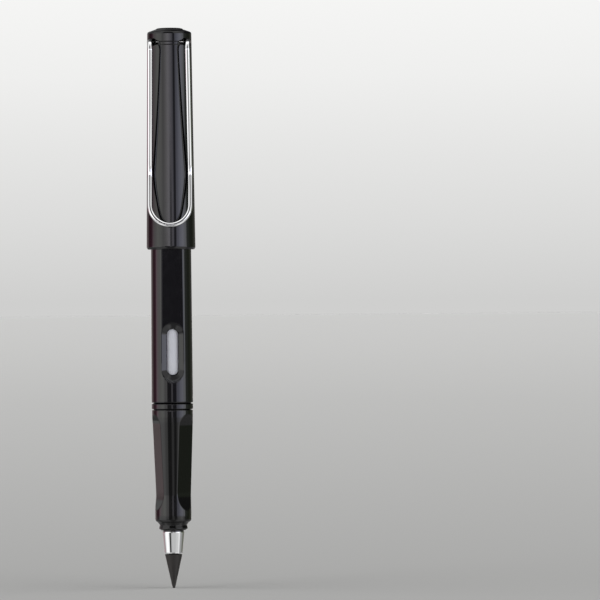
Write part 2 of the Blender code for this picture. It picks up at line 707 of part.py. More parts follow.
def slot_cutter(side, name):
    """The slot in the cap's side for the wire: pointed towards the front, square at the back."""
    half_height = WIRE_RADIUS + SLOT_CLEARANCE
    low = PIVOT_Z - half_height
    high = PIVOT_Z + half_height
    shoulder = SLOT_FRONT - SLOT_POINT
    outline = [(SLOT_FRONT, PIVOT_Z), (shoulder, high), (SLOT_BACK, high), (SLOT_BACK, low), (shoulder, low)]
    middle = side * (SLOT_INNER_HALF_WIDTH + REACH / 2)
    place = Matrix.Translation((middle, 0.0, 0.0))
    return prism(name, outline, REACH / 2, place @ facing(0.0))


def make_cap_shell(joint):
    shell = turned("cap_shell", cap_profile(), FINE_STEPS, PARTS, gloss_black())
    cut(shell, band_cutter())
    cut(shell, slot_cutter(-1, "left_slot_cutter"))
    cut(shell, slot_cutter(1, "right_slot_cutter"))
    return hang(finish_cuts(shell), joint)


def make_cap_liner(joint):
    """The inner cap: it covers the tip when the pencil is capped, and holds the finial's stem."""
    stem_bore = FINIAL_STEM_RADIUS + SEAT_GAP
    stem_floor = LINER_TOP_Z - LINER_STEM_DEPTH
    profile = [
        (stem_bore, LINER_TOP_Z),
        (LINER_RADIUS - LINER_EDGE, LINER_TOP_Z),
        (LINER_RADIUS, LINER_TOP_Z - LINER_EDGE),
        (LINER_RADIUS, LINER_Z),
        (LINER_BORE_RADIUS + LINER_EDGE, LINER_Z),
        (LINER_BORE_RADIUS, LINER_Z + LINER_EDGE),
        (LINER_BORE_RADIUS, LINER_CEILING_Z - LINER_EDGE),
        (LINER_BORE_RADIUS - LINER_EDGE, LINER_CEILING_Z),
        (0.0, LINER_CEILING_Z),
    ]
    bottom_up = [(0.0, stem_floor), (stem_bore, stem_floor)]
    liner = turned("cap_liner", bottom_up + profile, MIDDLE_STEPS, PARTS, satin_black(), closed=False)
    return hang(liner, joint)


def make_cap_finial(joint):
    """The disc on the head: a flat top with a low crown round it, a thin edge and a stem."""
    disc_z = FINIAL_SEAT_Z + SEAT_GAP
    stem_end = LINER_TOP_Z - LINER_STEM_DEPTH + SEAT_GAP
    edge_z = FINIAL_TOP_Z - FINIAL_CROWN
    profile = [
        (0.0, FINIAL_TOP_Z),
        (FINIAL_FLAT_RADIUS, FINIAL_TOP_Z),
        (between(0.6, 0.0, 1.0, FINIAL_FLAT_RADIUS, FINIAL_RADIUS), FINIAL_TOP_Z - 0.35 * FINIAL_CROWN),
        (FINIAL_RADIUS, edge_z),
        (FINIAL_RADIUS, disc_z),
        (FINIAL_STEM_RADIUS, disc_z),
        (FINIAL_STEM_RADIUS, stem_end),
        (0.0, stem_end),
    ]
    finial = turned("cap_finial", profile, MIDDLE_STEPS, PARTS, gloss_black(), closed=False)
    return hang(finial, joint)


def bend(before, corner, after, radius, count):
    """Points on the arc that rounds a corner of a wire's route."""
    back = (before - corner).normalized()
    ahead = (after - corner).normalized()
    half_angle = back.angle(ahead) / 2
    reach = radius / math.tan(half_angle)
    centre = corner + (back + ahead).normalized() * (radius / math.sin(half_angle))
    start = corner + back * reach - centre
    end = corner + ahead * reach - centre
    total = start.angle(end)
    points = []
    for i in range(count + 1):
        share = i / count
        arm = math.sin((1 - share) * total) * start + math.sin(share * total) * end
        points.append(centre + arm / math.sin(total))
    return points


def clip_knee():
    """The corner that the knee's bend rounds. The bend itself comes as near the cap as a seat gap."""
    rest = cap_radius(CLIP_KNEE_Z) + SEAT_GAP + WIRE_RADIUS
    rest_out = math.sqrt(rest**2 - CLIP_KNEE_HALF_WIDTH**2)
    leg_slope = (CLIP_TOP_OUT - rest_out) / (PIVOT_Z - CLIP_KNEE_Z)
    half_turn = (math.atan(leg_slope) + math.atan(CLIP_U_SLOPE)) / 2
    corner_out = rest_out - CLIP_KNEE_BEND * (1.0 / math.cos(half_turn) - 1.0)
    return Vector((CLIP_KNEE_HALF_WIDTH, -corner_out, CLIP_KNEE_Z))


def clip_route():
    """The wire's centre line on the clip's right half, from its end inside the cap to the end of the U."""
    end = Vector((FINIAL_STEM_RADIUS + CLIP_END_CLEARANCE, -CLIP_PIVOT_BACK, PIVOT_Z))
    entry = Vector((CLIP_ENTRY_HALF_WIDTH, -CLIP_ENTRY_OUT, PIVOT_Z))
    top = Vector((CLIP_TOP_HALF_WIDTH, -CLIP_TOP_OUT, PIVOT_Z))
    knee = clip_knee()
    end_y = knee.y - CLIP_U_SLOPE * CLIP_KNEE_ABOVE_END
    u_y = between(CLIP_U_Z, CLIP_END_Z, CLIP_KNEE_Z, end_y, knee.y)
    u_start = Vector((CLIP_KNEE_HALF_WIDTH, u_y, CLIP_U_Z))
    points = [end]
    points += bend(end, entry, top, CLIP_ENTRY_BEND, 4)
    points += bend(entry, top, knee, CLIP_TOP_BEND, 6)
    points += bend(top, knee, u_start, CLIP_KNEE_BEND, 6)
    for i in range(10):
        angle = math.pi / 2 * i / 9
        z = CLIP_U_Z - CLIP_KNEE_HALF_WIDTH * math.sin(angle)
        y = between(z, CLIP_END_Z, CLIP_KNEE_Z, end_y, knee.y)
        points.append(Vector((CLIP_KNEE_HALF_WIDTH * math.cos(angle), y, z)))
    return points


def make_clip(joint):
    """One wire from end to end: two hooked ends, two legs, two knees and a round U."""
    right = clip_route()
    left = [Vector((-point.x, point.y, point.z)) for point in reversed(right[:-1])]
    route = right + left
    curve = bpy.data.curves.new("clip", "CURVE")
    curve.dimensions = "3D"
    curve.bevel_depth = WIRE_RADIUS
    curve.bevel_resolution = 4
    curve.use_fill_caps = True
    spline = curve.splines.new("POLY")
    spline.points.add(len(route) - 1)
    for point, place in zip(spline.points, route):
        point.co = (*place, 1.0)
    guide = bpy.data.objects.new("clip_wire", curve)
    PARTS.objects.link(guide)
    clip = as_mesh(guide, "clip", PARTS, bright_chrome())
    return hang(clip, joint)


def build():
    grip_joint = joint_empty("grip_axis", (0.0, 0.0, GRIP_Z))
    ferrule_joint = joint_empty("ferrule_axis", (0.0, 0.0, GRIP_Z), parent=grip_joint)
    tip_joint = joint_empty("tip_thread_axis", (0.0, 0.0, GRIP_Z), parent=ferrule_joint)
    tube_joint = joint_empty("tube_axis", (0.0, 0.0, BARREL_Z), parent=grip_joint)
    barrel_joint = joint_empty("barrel_thread_axis", (0.0, 0.0, BARREL_Z), parent=tube_joint)
    cap_joint = joint_empty("cap_axis", (0.0, 0.0, CAP_Z), parent=barrel_joint)
    clip_joint = joint_empty("clip_pivot", (0.0, -CLIP_PIVOT_BACK, PIVOT_Z), parent=cap_joint)
    make_grip_section(grip_joint)
    make_cap_snap_ring(grip_joint)
    make_tip_ferrule(ferrule_joint)
    make_writing_tip(tip_joint)
    make_tip_stud(tip_joint)
    make_inner_tube(tube_joint)
    make_barrel(barrel_joint)
    make_barrel_end_plug(barrel_joint)
    make_cap_shell(cap_joint)
    make_cap_liner(cap_joint)
    make_cap_finial(cap_joint)
    make_clip(clip_joint)
    bpy.context.view_layer.update()


clear_scene()
PARTS = new_collection(OBJECT_NAME)
CUTTERS = new_collection(OBJECT_NAME + "_cutters")
build()
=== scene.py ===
"""The looks of an everlasting pencil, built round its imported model.

Everything is in metres in the model's own frame: the writing point at the origin, +Z up the
pencil's axis, and the clip towards -Y. Sizes that the model also has are repeated here.
"""

import math

import bmesh
import bpy
from mathutils import Matrix, Vector


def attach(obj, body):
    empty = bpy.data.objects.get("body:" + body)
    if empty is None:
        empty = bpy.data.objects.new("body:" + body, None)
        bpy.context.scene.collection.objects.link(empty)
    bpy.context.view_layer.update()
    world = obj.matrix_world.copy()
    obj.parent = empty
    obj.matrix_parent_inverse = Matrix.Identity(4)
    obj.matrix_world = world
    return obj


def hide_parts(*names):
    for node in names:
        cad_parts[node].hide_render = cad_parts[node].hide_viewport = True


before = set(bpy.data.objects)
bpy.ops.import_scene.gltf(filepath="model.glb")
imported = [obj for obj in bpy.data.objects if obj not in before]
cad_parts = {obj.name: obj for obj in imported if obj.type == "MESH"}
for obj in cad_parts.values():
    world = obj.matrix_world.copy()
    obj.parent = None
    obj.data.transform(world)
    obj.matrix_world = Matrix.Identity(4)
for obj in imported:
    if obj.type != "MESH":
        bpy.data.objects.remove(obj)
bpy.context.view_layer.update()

MM = 0.001

# Steps round the axis
DENSE_STEPS = 320
SMOOTH_STEPS = 192
SMALL_STEPS = 128

# Segments of a rounding, and how near points are merged
ROUNDING_SEGMENTS = 4
MERGE = 0.0005 * MM

# The turn up to which a point on an edge is spare, and the angle past which an edge is shaded sharp
STRAIGHT_ANGLE = math.radians(3.0)
SHARP_ANGLE = math.radians(32.0)

# A screw thread's ridge: half widths and lead-in as shares of the pitch, and how deep its core hides it
THREAD_FOOT = 0.38
THREAD_CREST = 0.07
THREAD_LEAD = 0.8
THREAD_SUNK = 0.1 * MM

# Writing tip and ferrule, and how far from the ferrule's edges its extra rows are
TIP_LENGTH = 9.9 * MM
TIP_BACK_RADIUS = 2.54 * MM
TIP_POINT_RADIUS = 0.28 * MM
TIP_NOSE_RADIUS = 0.42 * MM
TIP_NOSE_Z = 0.32 * MM
TIP_STEM_RADIUS = 0.85 * MM
TIP_STEM_TOP = 16.7 * MM
TIP_GROOVE_RADIUS = 1.25 * MM
FERRULE_Z = 10.2 * MM
FERRULE_TOP_Z = 16.6 * MM
FERRULE_FRONT_RADIUS = 2.56 * MM
FERRULE_BACK_RADIUS = 3.17 * MM
FERRULE_BORE_RADIUS = 2.05 * MM
FERRULE_EDGE_ROWS = (0.4 * MM, 0.5 * MM)
GROOVE_GAP = 0.03 * MM

# Threaded stud
STUD_BORE_RADIUS = 1.15 * MM
STUD_BORE_TOP = 17.0 * MM
STUD_NECK_RADIUS = 1.75 * MM
STUD_SHOULDER_Z = 16.9 * MM
STUD_SHOULDER_TOP_Z = 17.25 * MM
STUD_CORE_Z = 17.4 * MM
STUD_CREST_RADIUS = 2.1 * MM
STUD_ROOT_RADIUS = 1.82 * MM
STUD_TOP_Z = 25.1 * MM
STUD_PITCH = 0.7 * MM
STUD_THREAD = (17.3 * MM, 24.95 * MM)
STUD_THREAD_STEPS = 64

# Grip section and its threaded spigot, with closer rows over the finger flats
GRIP_Z = 16.9 * MM
GRIP_TOP_Z = 52.1 * MM
GRIP_BACK_RADIUS = 5.95 * MM
GRIP_BACK_STRAIGHT = 2.8 * MM
GRIP_WAIST_RADIUS = 5.19 * MM
GRIP_WAIST_Z = 27.3 * MM
GRIP_FLARE_RADIUS = 5.27 * MM
GRIP_FLARE_Z = 21.5 * MM
GRIP_SHOULDER_Z = 19.3 * MM
GRIP_SHOULDER_ROUNDING = 0.9 * MM
GRIP_SHOULDER_END = math.radians(-75.0)
GRIP_NECK_RADIUS = 3.92 * MM
GRIP_NECK_Z = 18.45 * MM
GRIP_LIP_RADIUS = 4.17 * MM
GRIP_LIP_Z = 17.4 * MM
GRIP_LIP_TOP_Z = 17.75 * MM
GRIP_NOSE_FACE_RADIUS = 3.45 * MM
GRIP_NOSE_BORE_RADIUS = 2.4 * MM
GRIP_GROOVE_RADIUS = 2.95 * MM
GRIP_BORE_STEP_Z = 25.7 * MM
GRIP_BORE_RADIUS = 2.9 * MM
GRIP_TURN = math.radians(-7.5)
GRIP_WAIST_PARTS = 6
GRIP_SHOULDER_PARTS = 8
GRIP_ROWS = [(GRIP_FLARE_Z - 0.1 * MM, GRIP_TOP_Z - 0.2 * MM, 0.3 * MM)]
SPIGOT_SHOULDER_Z = 53.0 * MM
SPIGOT_CORE_Z = 53.3 * MM
SPIGOT_TOP_Z = 59.1 * MM
SPIGOT_CREST_RADIUS = 4.6 * MM
SPIGOT_ROOT_RADIUS = 4.12 * MM
SPIGOT_PITCH = 1.2 * MM
SPIGOT_THREAD = (53.2 * MM, 59.0 * MM)
SPIGOT_THREAD_STEPS = 96

# Finger flats: a straight floor between two heights, with curves out of it up to a share of their radius
FINGER_ANGLE = math.radians(60.0)
FINGER_BACK_Z = 47.2 * MM
FINGER_BACK_DEPTH = 0.88 * MM
FINGER_BACK_CURVE = 8.0 * MM
FINGER_FRONT_Z = 28.3 * MM
FINGER_FRONT_DEPTH = 1.08 * MM
FINGER_FRONT_CURVE = 11.0 * MM
FINGER_CURVE_SHARE = 0.8
FINGER_SOFTNESS = 0.12 * MM

# Ring, and how far from its edges its extra rows are
RING_Z = 52.4 * MM
RING_TOP_Z = 53.87 * MM
RING_BORE_RADIUS = 4.9 * MM
RING_GROOVE_RADIUS = 5.35 * MM
RING_GROOVE_RIM = 0.4 * MM
RING_TOP_ROW = 0.25 * MM
RING_LOW_ROW = 0.2 * MM

# Barrel, with the radius past which its skin begins, its flats and windows, the cuts along its length,
# and the heights with closer rows round the windows' ends
BARREL_Z = 54.25 * MM
BARREL_TOP_Z = 126.5 * MM
BARREL_FRONT_RADIUS = 6.02 * MM
BARREL_FRONT_STRAIGHT = 0.4 * MM
BARREL_BACK_RADIUS = 5.77 * MM
BARREL_SKIN_RADIUS = BARREL_BACK_RADIUS - 0.2 * MM
BARREL_THREAD_TOP = 59.75 * MM
BARREL_THREAD_BORE = 4.9 * MM
BARREL_BORE_RADIUS = 4.15 * MM
BARREL_FLAT_DISTANCE = 5.02 * MM
BARREL_FLAT_HALF_WIDTH = 3.323 * MM
BARREL_SOFTNESS = 0.11 * MM
BARREL_TURN = math.radians(4.0)
WINDOW_WIDTH = 3.3 * MM
WINDOW_LENGTH = 13.3 * MM
WINDOW_Z = 62.4 * MM
WINDOW_LAND = 0.06 * MM
WINDOW_END_SLOPE = 0.62
WINDOW_STEPS = 96
WINDOW_CUT_DEPTH = 5.0 * MM
BARREL_CUTS = 35
WINDOW_ROWS = [(57.5 * MM, 68.0 * MM, 0.16 * MM), (73.0 * MM, 79.5 * MM, 0.16 * MM)]

# Inner tube and the barrel's end plug
TUBE_RADIUS = 3.85 * MM
TUBE_WALL = 0.7 * MM
TUBE_Z = 59.4 * MM
TUBE_TOP_Z = 121.9 * MM
PLUG_STEM_Z = 122.5 * MM
PLUG_Z = 126.8 * MM
PLUG_TOP_Z = 127.8 * MM
PLUG_RADIUS = 4.75 * MM

# Cap shell, with its extra rows, the radius past which its skin begins, and the cuts along its length
CAP_Z = 99.0 * MM
CAP_RIM_TOP_Z = 99.55 * MM
CAP_RIM_RADIUS = 7.13 * MM
CAP_RIM_CHAMFER = 0.35 * MM
CAP_RIM_ROW = 0.4 * MM
CAP_CORNER_ROW = 0.55 * MM
CAP_BORE_RADIUS = 6.2 * MM
CAP_SKIN_RADIUS = CAP_BORE_RADIUS + 0.05 * MM
CAP_BORE_TOP_RADIUS = 5.98 * MM
CAP_BEAD_Z = 101.2 * MM
CAP_BEAD_HEIGHT = 0.12 * MM
CAP_BEAD_HALF_LENGTH = 0.5 * MM
CAP_STEP_Z = 134.35 * MM
CAP_STEP_TOP_Z = 136.05 * MM
CAP_HEAD_RADIUS = 6.45 * MM
CAP_HEAD_BORE_RADIUS = 5.35 * MM
CAP_CEILING_Z = 160.86 * MM
CAP_TOP_Z = 163.22 * MM
CAP_CORNER_Z = 162.476 * MM
CAP_CORNER_ROUNDING = 0.42 * MM
CAP_CUTS = 60
FINIAL_SEAT_Z = 161.86 * MM
FINIAL_SEAT_RADIUS = 4.35 * MM
FINIAL_HOLE_RADIUS = 2.0 * MM

# Inner cap and finial
LINER_Z = 134.65 * MM
LINER_CEILING_Z = 154.75 * MM
LINER_TOP_Z = 158.7 * MM
LINER_STEM_FLOOR_Z = 156.3 * MM
LINER_BORE_RADIUS = 4.55 * MM
LINER_RADIUS = 5.05 * MM
FINIAL_RADIUS = 4.05 * MM
FINIAL_Z = 162.16 * MM
FINIAL_TOP_Z = 163.73 * MM
FINIAL_EDGE_Z = 163.37 * MM
FINIAL_FLAT_RADIUS = 3.0 * MM
FINIAL_DOME_RADIUS = 3.63 * MM
FINIAL_DOME_Z = 163.6 * MM
FINIAL_STEM_RADIUS = 1.7 * MM
FINIAL_STEM_Z = 156.6 * MM

# Clip: one wire, bent, with the parts that each bend is made of
WIRE_RADIUS = 0.73 * MM
CLIP_END = Vector((2.0, -1.2, 159.73)) * MM
CLIP_ENTRY = Vector((5.72, -4.6, 159.47)) * MM
CLIP_TOP = Vector((5.42, -9.0, 159.47)) * MM
CLIP_KNEE = Vector((5.86, -4.98, 119.4)) * MM
CLIP_END_Y = -9.11 * MM
CLIP_END_Z = 106.05 * MM
CLIP_U_Z = 111.91 * MM
CLIP_ENTRY_BEND = 1.5 * MM
CLIP_TOP_BEND = 2.3 * MM
CLIP_KNEE_BEND = 21.0 * MM
CLIP_ENTRY_PARTS = 12
CLIP_TOP_PARTS = 18
CLIP_KNEE_PARTS = 16
CLIP_U_PARTS = 32
WIRE_RESOLUTION = 10

# The clip's slots in the cap's sides, the band between them, and the heights with closer rows there
SLOT_INNER_X = 3.0 * MM
SLOT_FRONT_Y = -5.75 * MM
SLOT_SHOULDER_Y = -4.847 * MM
SLOT_BACK_Y = -2.2 * MM
SLOT_HALF_HEIGHT = 1.1 * MM
SLOT_LENGTH_X = 5.0 * MM
SLOT_POINT_SHARE = 0.15
SLOT_EDGE_ROUNDING = 0.08 * MM
SLOT_EDGE_SEGMENTS = 3
BAND_DEPTH = 0.2 * MM
BAND_LOW_Z = 158.7 * MM
BAND_TOP_Z = 159.6 * MM
BAND_HALF_WIDTH = 3.9 * MM
BAND_WALL = 0.22 * MM
BAND_ROWS = [(158.2 * MM, 160.1 * MM, 0.04 * MM)]


# Shaping

def soft_min(a, b, softness):
    """The lesser of two values, with the corner between them rounded."""
    share = max(softness - abs(a - b), 0.0) / softness
    return min(a, b) - share * share * softness / 4


def inside(distance, wall):
    """1 inside an outline and 0 outside it, eased over a wall's width. Distance is negative inside."""
    share = min(max(0.5 - distance / wall, 0.0), 1.0)
    return share * share * (3.0 - 2.0 * share)


def between(value, start, end, first, last):
    """The value's place between start and end, carried over to first and last."""
    return first + (last - first) * (value - start) / (end - start)


def profile_wire(bm, corners, closed=True):
    """A wire in the XZ plane from corners of (radius, height) or (radius, height, rounding)."""
    verts = [bm.verts.new((corner[0], 0.0, corner[1])) for corner in corners]
    for start, end in zip(verts, verts[1:]):
        bm.edges.new((start, end))
    if closed:
        bm.edges.new((verts[-1], verts[0]))
    roundings = sorted({corner[2] for corner in corners if len(corner) > 2})
    for rounding in roundings:
        chosen = [v for v, corner in zip(verts, corners) if len(corner) > 2 and corner[2] == rounding]
        bmesh.ops.bevel(
            bm, geom=chosen, offset=rounding, offset_type="OFFSET", segments=ROUNDING_SEGMENTS,
            profile=0.5, affect="VERTICES", material=-1,
        )


def refine(bm, nearest, zones):
    """Divides the wire's outer edges until each zone of heights has its rows about a step apart."""
    for low, high, step in zones:
        for edge in list(bm.edges):
            start, end = (v.co for v in edge.verts)
            middle = (start + end) / 2
            if low <= middle.z <= high and min(start.x, end.x) > nearest:
                cuts = int(edge.calc_length() / step)
                if cuts:
                    bmesh.ops.subdivide_edges(bm, edges=[edge], cuts=cuts)


def divide_longest(bm, nearest, cuts):
    """Divides the longest of the wire's outer edges."""
    outer = (e for e in bm.edges if min(v.co.x for v in e.verts) > nearest)
    bmesh.ops.subdivide_edges(bm, edges=[max(outer, key=lambda e: e.calc_length())], cuts=cuts)


def add_object(name, data):
    """A new object in the scene."""
    obj = bpy.data.objects.new(name, data)
    bpy.context.scene.collection.objects.link(obj)
    return obj


def screwed(bm, steps, rise=0.0, turns=1):
    """The wire swept round the axis by a Screw modifier, as a new mesh to work on."""
    mesh = bpy.data.meshes.new("profile")
    bm.to_mesh(mesh)
    bm.free()
    guide = add_object("profile", mesh)
    screw = guide.modifiers.new("Screw", "SCREW")
    screw.steps = screw.render_steps = steps
    screw.screw_offset = rise
    screw.iterations = turns
    screw.use_merge_vertices = rise == 0.0
    screw.merge_threshold = MERGE
    bpy.context.view_layer.update()
    swept = bmesh.new()
    swept.from_mesh(guide.evaluated_get(bpy.context.evaluated_depsgraph_get()).to_mesh())
    bpy.data.objects.remove(guide, do_unlink=True)
    return swept


def spun(bm, steps):
    """The wire turned all the way round, with its seam and poles closed."""
    solid = screwed(bm, steps)
    weld(solid)
    return solid


def weld(bm):
    """Merges points that lie together, and turns all faces outwards."""
    bmesh.ops.remove_doubles(bm, verts=bm.verts, dist=MERGE)
    bmesh.ops.dissolve_degenerate(bm, dist=MERGE, edges=bm.edges)
    bmesh.ops.recalc_face_normals(bm, faces=bm.faces)


def shade(mesh):
    mesh.shade_smooth()
    mesh.set_sharp_from_angle(angle=SHARP_ANGLE)


def to_object(bm, name, material=None):
    mesh = bpy.data.meshes.new(name)
    bm.to_mesh(mesh)
    bm.free()
    shade(mesh)
    if material:
        mesh.materials.append(material)
    return add_object(name, mesh)


def taper_rows(heights, low, high):
    """Corners of a profile at some heights of a taper, whose ends are given as (radius, height)."""
    return [(between(z, low[1], high[1], low[0], high[0]), z) for z in heights]


def turned(name, corners, material, steps=SMOOTH_STEPS, closed=True):
    """A piece turned from its profile."""
    bm = bmesh.new()
    profile_wire(bm, corners, closed)
    return to_object(spun(bm, steps), name, material)


def press(bm, angle, nearest, floor, softness):
    """Flattens the outer skin that faces one way, down to a floor: a distance from the axis, by place."""
    outwards = Vector((math.sin(angle), -math.cos(angle), 0.0))
    across = Vector((math.cos(angle), math.sin(angle), 0.0))
    for vert in bm.verts:
        along = vert.co.dot(outwards)
        if along > 0.0 and math.hypot(vert.co.x, vert.co.y) > nearest:
            limit = floor(vert.co.dot(across), vert.co.z)
            if limit is not None:
                vert.co += outwards * (soft_min(along, limit, softness) - along)


def cut(target, cutters):
    """Cuts solids out of a piece for good, and takes out the spare points that this leaves on edges."""
    for cutter in cutters:
        boolean = target.modifiers.new(cutter.name, "BOOLEAN")
        boolean.operation = "DIFFERENCE"
        boolean.solver = "EXACT"
        boolean.object = cutter
    bpy.context.view_layer.update()
    cut_target = target.evaluated_get(bpy.context.evaluated_depsgraph_get())
    mesh = bpy.data.meshes.new_from_object(cut_target)
    target.modifiers.clear()
    bm = bmesh.new()
    bm.from_mesh(mesh)
    spare = [v for v in bm.verts if len(v.link_edges) == 2 and v.calc_edge_angle(0.0) < STRAIGHT_ANGLE]
    bmesh.ops.dissolve_verts(bm, verts=spare)
    bm.to_mesh(mesh)
    bm.free()
    target.data = mesh
    shade(mesh)
    for cutter in cutters:
        bpy.data.objects.remove(cutter, do_unlink=True)


def add_thread(bm, root, crest, pitch, heights, steps):
    """Adds a screw thread's ridge round a core between two heights, with a lead-in at both ends."""
    low, high = heights
    sunk = root - THREAD_SUNK
    turns = int((high - low) / pitch - THREAD_LEAD)
    start = (low + high - turns * pitch) / 2
    wire = bmesh.new()
    profile_wire(wire, [
        (sunk, start - THREAD_FOOT * pitch), (crest, start - THREAD_CREST * pitch),
        (crest, start + THREAD_CREST * pitch), (sunk, start + THREAD_FOOT * pitch),
    ])
    ridge = screwed(wire, steps, pitch, turns)
    bmesh.ops.holes_fill(ridge, edges=[e for e in ridge.edges if e.is_boundary], sides=4)
    for vert in ridge.verts:
        room = min(vert.co.z - low, high - vert.co.z) / (THREAD_LEAD * pitch)
        limit = sunk + (crest - sunk) * min(max(room, 0.0), 1.0)
        radius = math.hypot(vert.co.x, vert.co.y)
        if radius > limit:
            vert.co.x *= limit / radius
            vert.co.y *= limit / radius
    bmesh.ops.recalc_face_normals(ridge, faces=ridge.faces)
    mesh = bpy.data.meshes.new("ridge")
    ridge.to_mesh(mesh)
    ridge.free()
    bm.from_mesh(mesh)
    bpy.data.meshes.remove(mesh)


# Materials

def feed(tree, socket, value):
    """Links another node's output to a socket, or sets the socket's own value."""
    if isinstance(value, bpy.types.NodeSocket):
        tree.links.new(value, socket)
    else:
        socket.default_value = value


def set_inputs(tree, node, values):
    """Feeds a node's inputs, given by name or place."""
    for socket, value in values.items():
        feed(tree, node.inputs[socket], value)


def add_node(tree, kind, values=None, **settings):
    """A node with its inputs and its settings."""
    node = tree.nodes.new(kind)
    for setting, value in settings.items():
        setattr(node, setting, value)
    set_inputs(tree, node, values or {})
    return node


def compute(tree, operation, first, second):
    return add_node(tree, "ShaderNodeMath", {0: first, 1: second}, operation=operation).outputs[0]


def spread(tree, value, low, high, start=0.3, end=0.7):
    """Maps a mask or noise onto a range."""
    return add_node(tree, "ShaderNodeMapRange", {
        "Value": value, "From Min": start, "From Max": end, "To Min": low, "To Max": high,
    }).outputs["Result"]


def noise(tree, points, **values):
    """Noise from 0 to 1, with the texture's inputs given by name."""
    return add_node(tree, "ShaderNodeTexNoise", {"Vector": points, **values}).outputs["Fac"]


def blend(tree, share, below, above, kind="MIX"):
    """Mixes two colours by a share, or multiplies them. Each is a socket or (red, green, blue)."""
    colours = [c if isinstance(c, bpy.types.NodeSocket) else (*c, 1.0) for c in (below, above)]
    values = {0: share, 6: colours[0], 7: colours[1]}
    return add_node(tree, "ShaderNodeMix", values, data_type="RGBA", blend_type=kind).outputs[2]


def object_points(tree, scale=(1.0, 1.0, 1.0)):
    """Object coordinates, stretched."""
    place = add_node(tree, "ShaderNodeTexCoord")
    mapping = add_node(tree, "ShaderNodeMapping", {"Vector": place.outputs["Object"], "Scale": scale})
    return mapping.outputs["Vector"]


def new_group(name, inputs, outputs):
    """A node group with number sockets. Gives the group, its given values and its results."""
    group = bpy.data.node_groups.new(name, "ShaderNodeTree")
    for socket, default in inputs:
        made = group.interface.new_socket(name=socket, in_out="INPUT", socket_type="NodeSocketFloat")
        made.default_value = default
    for socket in outputs:
        group.interface.new_socket(name=socket, in_out="OUTPUT", socket_type="NodeSocketFloat")
    return group, group.nodes.new("NodeGroupInput").outputs, group.nodes.new("NodeGroupOutput").inputs


def make_skin_group():
    """A moulded or polished skin: slow waves, cloudy polish and fine grain."""
    group, given, result = new_group(
        "skin", [("Wave Scale", 160.0), ("Grain Scale", 6000.0), ("Grain", 0.15)], ["Height", "Polish"],
    )
    points = object_points(group)
    waves = noise(group, points, Scale=given["Wave Scale"], Detail=1.0, Roughness=0.4)
    grain = noise(group, points, Scale=given["Grain Scale"], Detail=2.0)
    height = compute(group, "ADD", waves, compute(group, "MULTIPLY", grain, given["Grain"]))
    feed(group, result["Height"], height)
    feed(group, result["Polish"], noise(group, points, Scale=420.0, Detail=4.0, Roughness=0.6))
    return group


def make_scuff_group():
    """Hairline scuffs that run mostly along the axis, in patches."""
    group, given, result = new_group("scuffs", [("Amount", 0.5)], ["Mask"])
    stretched = object_points(group, (5200.0, 5200.0, 260.0))
    lines = noise(group, stretched, Scale=1.0, Detail=3.0, Roughness=0.65, Distortion=0.6)
    patches = noise(group, object_points(group), Scale=190.0, Detail=2.0)
    thin = spread(group, lines, 0.0, 1.0, 0.64, 0.72)
    where = spread(group, patches, 0.0, 1.0, 0.46, 0.66)
    both = compute(group, "MULTIPLY", thin, where)
    feed(group, result["Mask"], compute(group, "MULTIPLY", both, given["Amount"]))
    return group


def make_dust_group():
    """Sparse specks of dust, round and of mixed size."""
    group, given, result = new_group("dust", [("Share", 0.06)], ["Mask"])
    cells = add_node(group, "ShaderNodeTexVoronoi", {"Vector": object_points(group), "Scale": 900.0})
    red, green, _ = add_node(group, "ShaderNodeSeparateColor", {"Color": cells.outputs["Color"]}).outputs
    keep = compute(group, "LESS_THAN", red, given["Share"])
    size = spread(group, green, 0.05, 0.2, 0.0, 1.0)
    speck = compute(group, "LESS_THAN", cells.outputs["Distance"], size)
    feed(group, result["Mask"], compute(group, "MULTIPLY", keep, speck))
    return group


def make_turning_group():
    """Fine rings left by turning, with an uneven depth."""
    group, given, result = new_group("turning", [("Lines", 9000.0)], ["Height"])
    parts = add_node(group, "ShaderNodeSeparateXYZ", {"Vector": object_points(group)})
    height = add_node(group, "ShaderNodeCombineXYZ", {"Z": parts.outputs["Z"]})
    rings = noise(group, height.outputs["Vector"], Scale=given["Lines"], Detail=3.0, Roughness=0.7)
    feed(group, result["Height"], rings)
    return group


SKIN = make_skin_group()
SCUFFS = make_scuff_group()
DUST = make_dust_group()
TURNING = make_turning_group()
DUST_COLOUR = (0.07, 0.068, 0.065)


def use_group(tree, group, **values):
    """The outputs of a node group, with its inputs given by name."""
    node = tree.nodes.new("ShaderNodeGroup")
    node.node_tree = group
    set_inputs(tree, node, {socket.replace("_", " "): value for socket, value in values.items()})
    return node.outputs


def new_material(name, colour, metallic=0.0):
    material = bpy.data.materials.new(name)
    material.use_nodes = True
    tree = material.node_tree
    shader = tree.nodes["Principled BSDF"]
    set_inputs(tree, shader, {"Base Color": (*colour, 1.0), "Metallic": metallic})
    return material, tree, shader


def bump(tree, shader, height, distance, below=None):
    """Raises a skin by a height, on top of the bump below it if there is one."""
    node = add_node(tree, "ShaderNodeBump", {"Height": height, "Distance": distance})
    if below:
        feed(tree, node.inputs["Normal"], below)
    feed(tree, shader.inputs["Normal"], node.outputs["Normal"])
    return node.outputs["Normal"]


def scuffed(tree, skin, polish, amount, rise):
    """Roughness from the skin's cloudy polish, raised along the scuffs."""
    scuffs = use_group(tree, SCUFFS, Amount=amount)
    clouds = spread(tree, skin["Polish"], *polish)
    return compute(tree, "ADD", clouds, spread(tree, scuffs["Mask"], 0.0, rise, 0.0, 1.0))


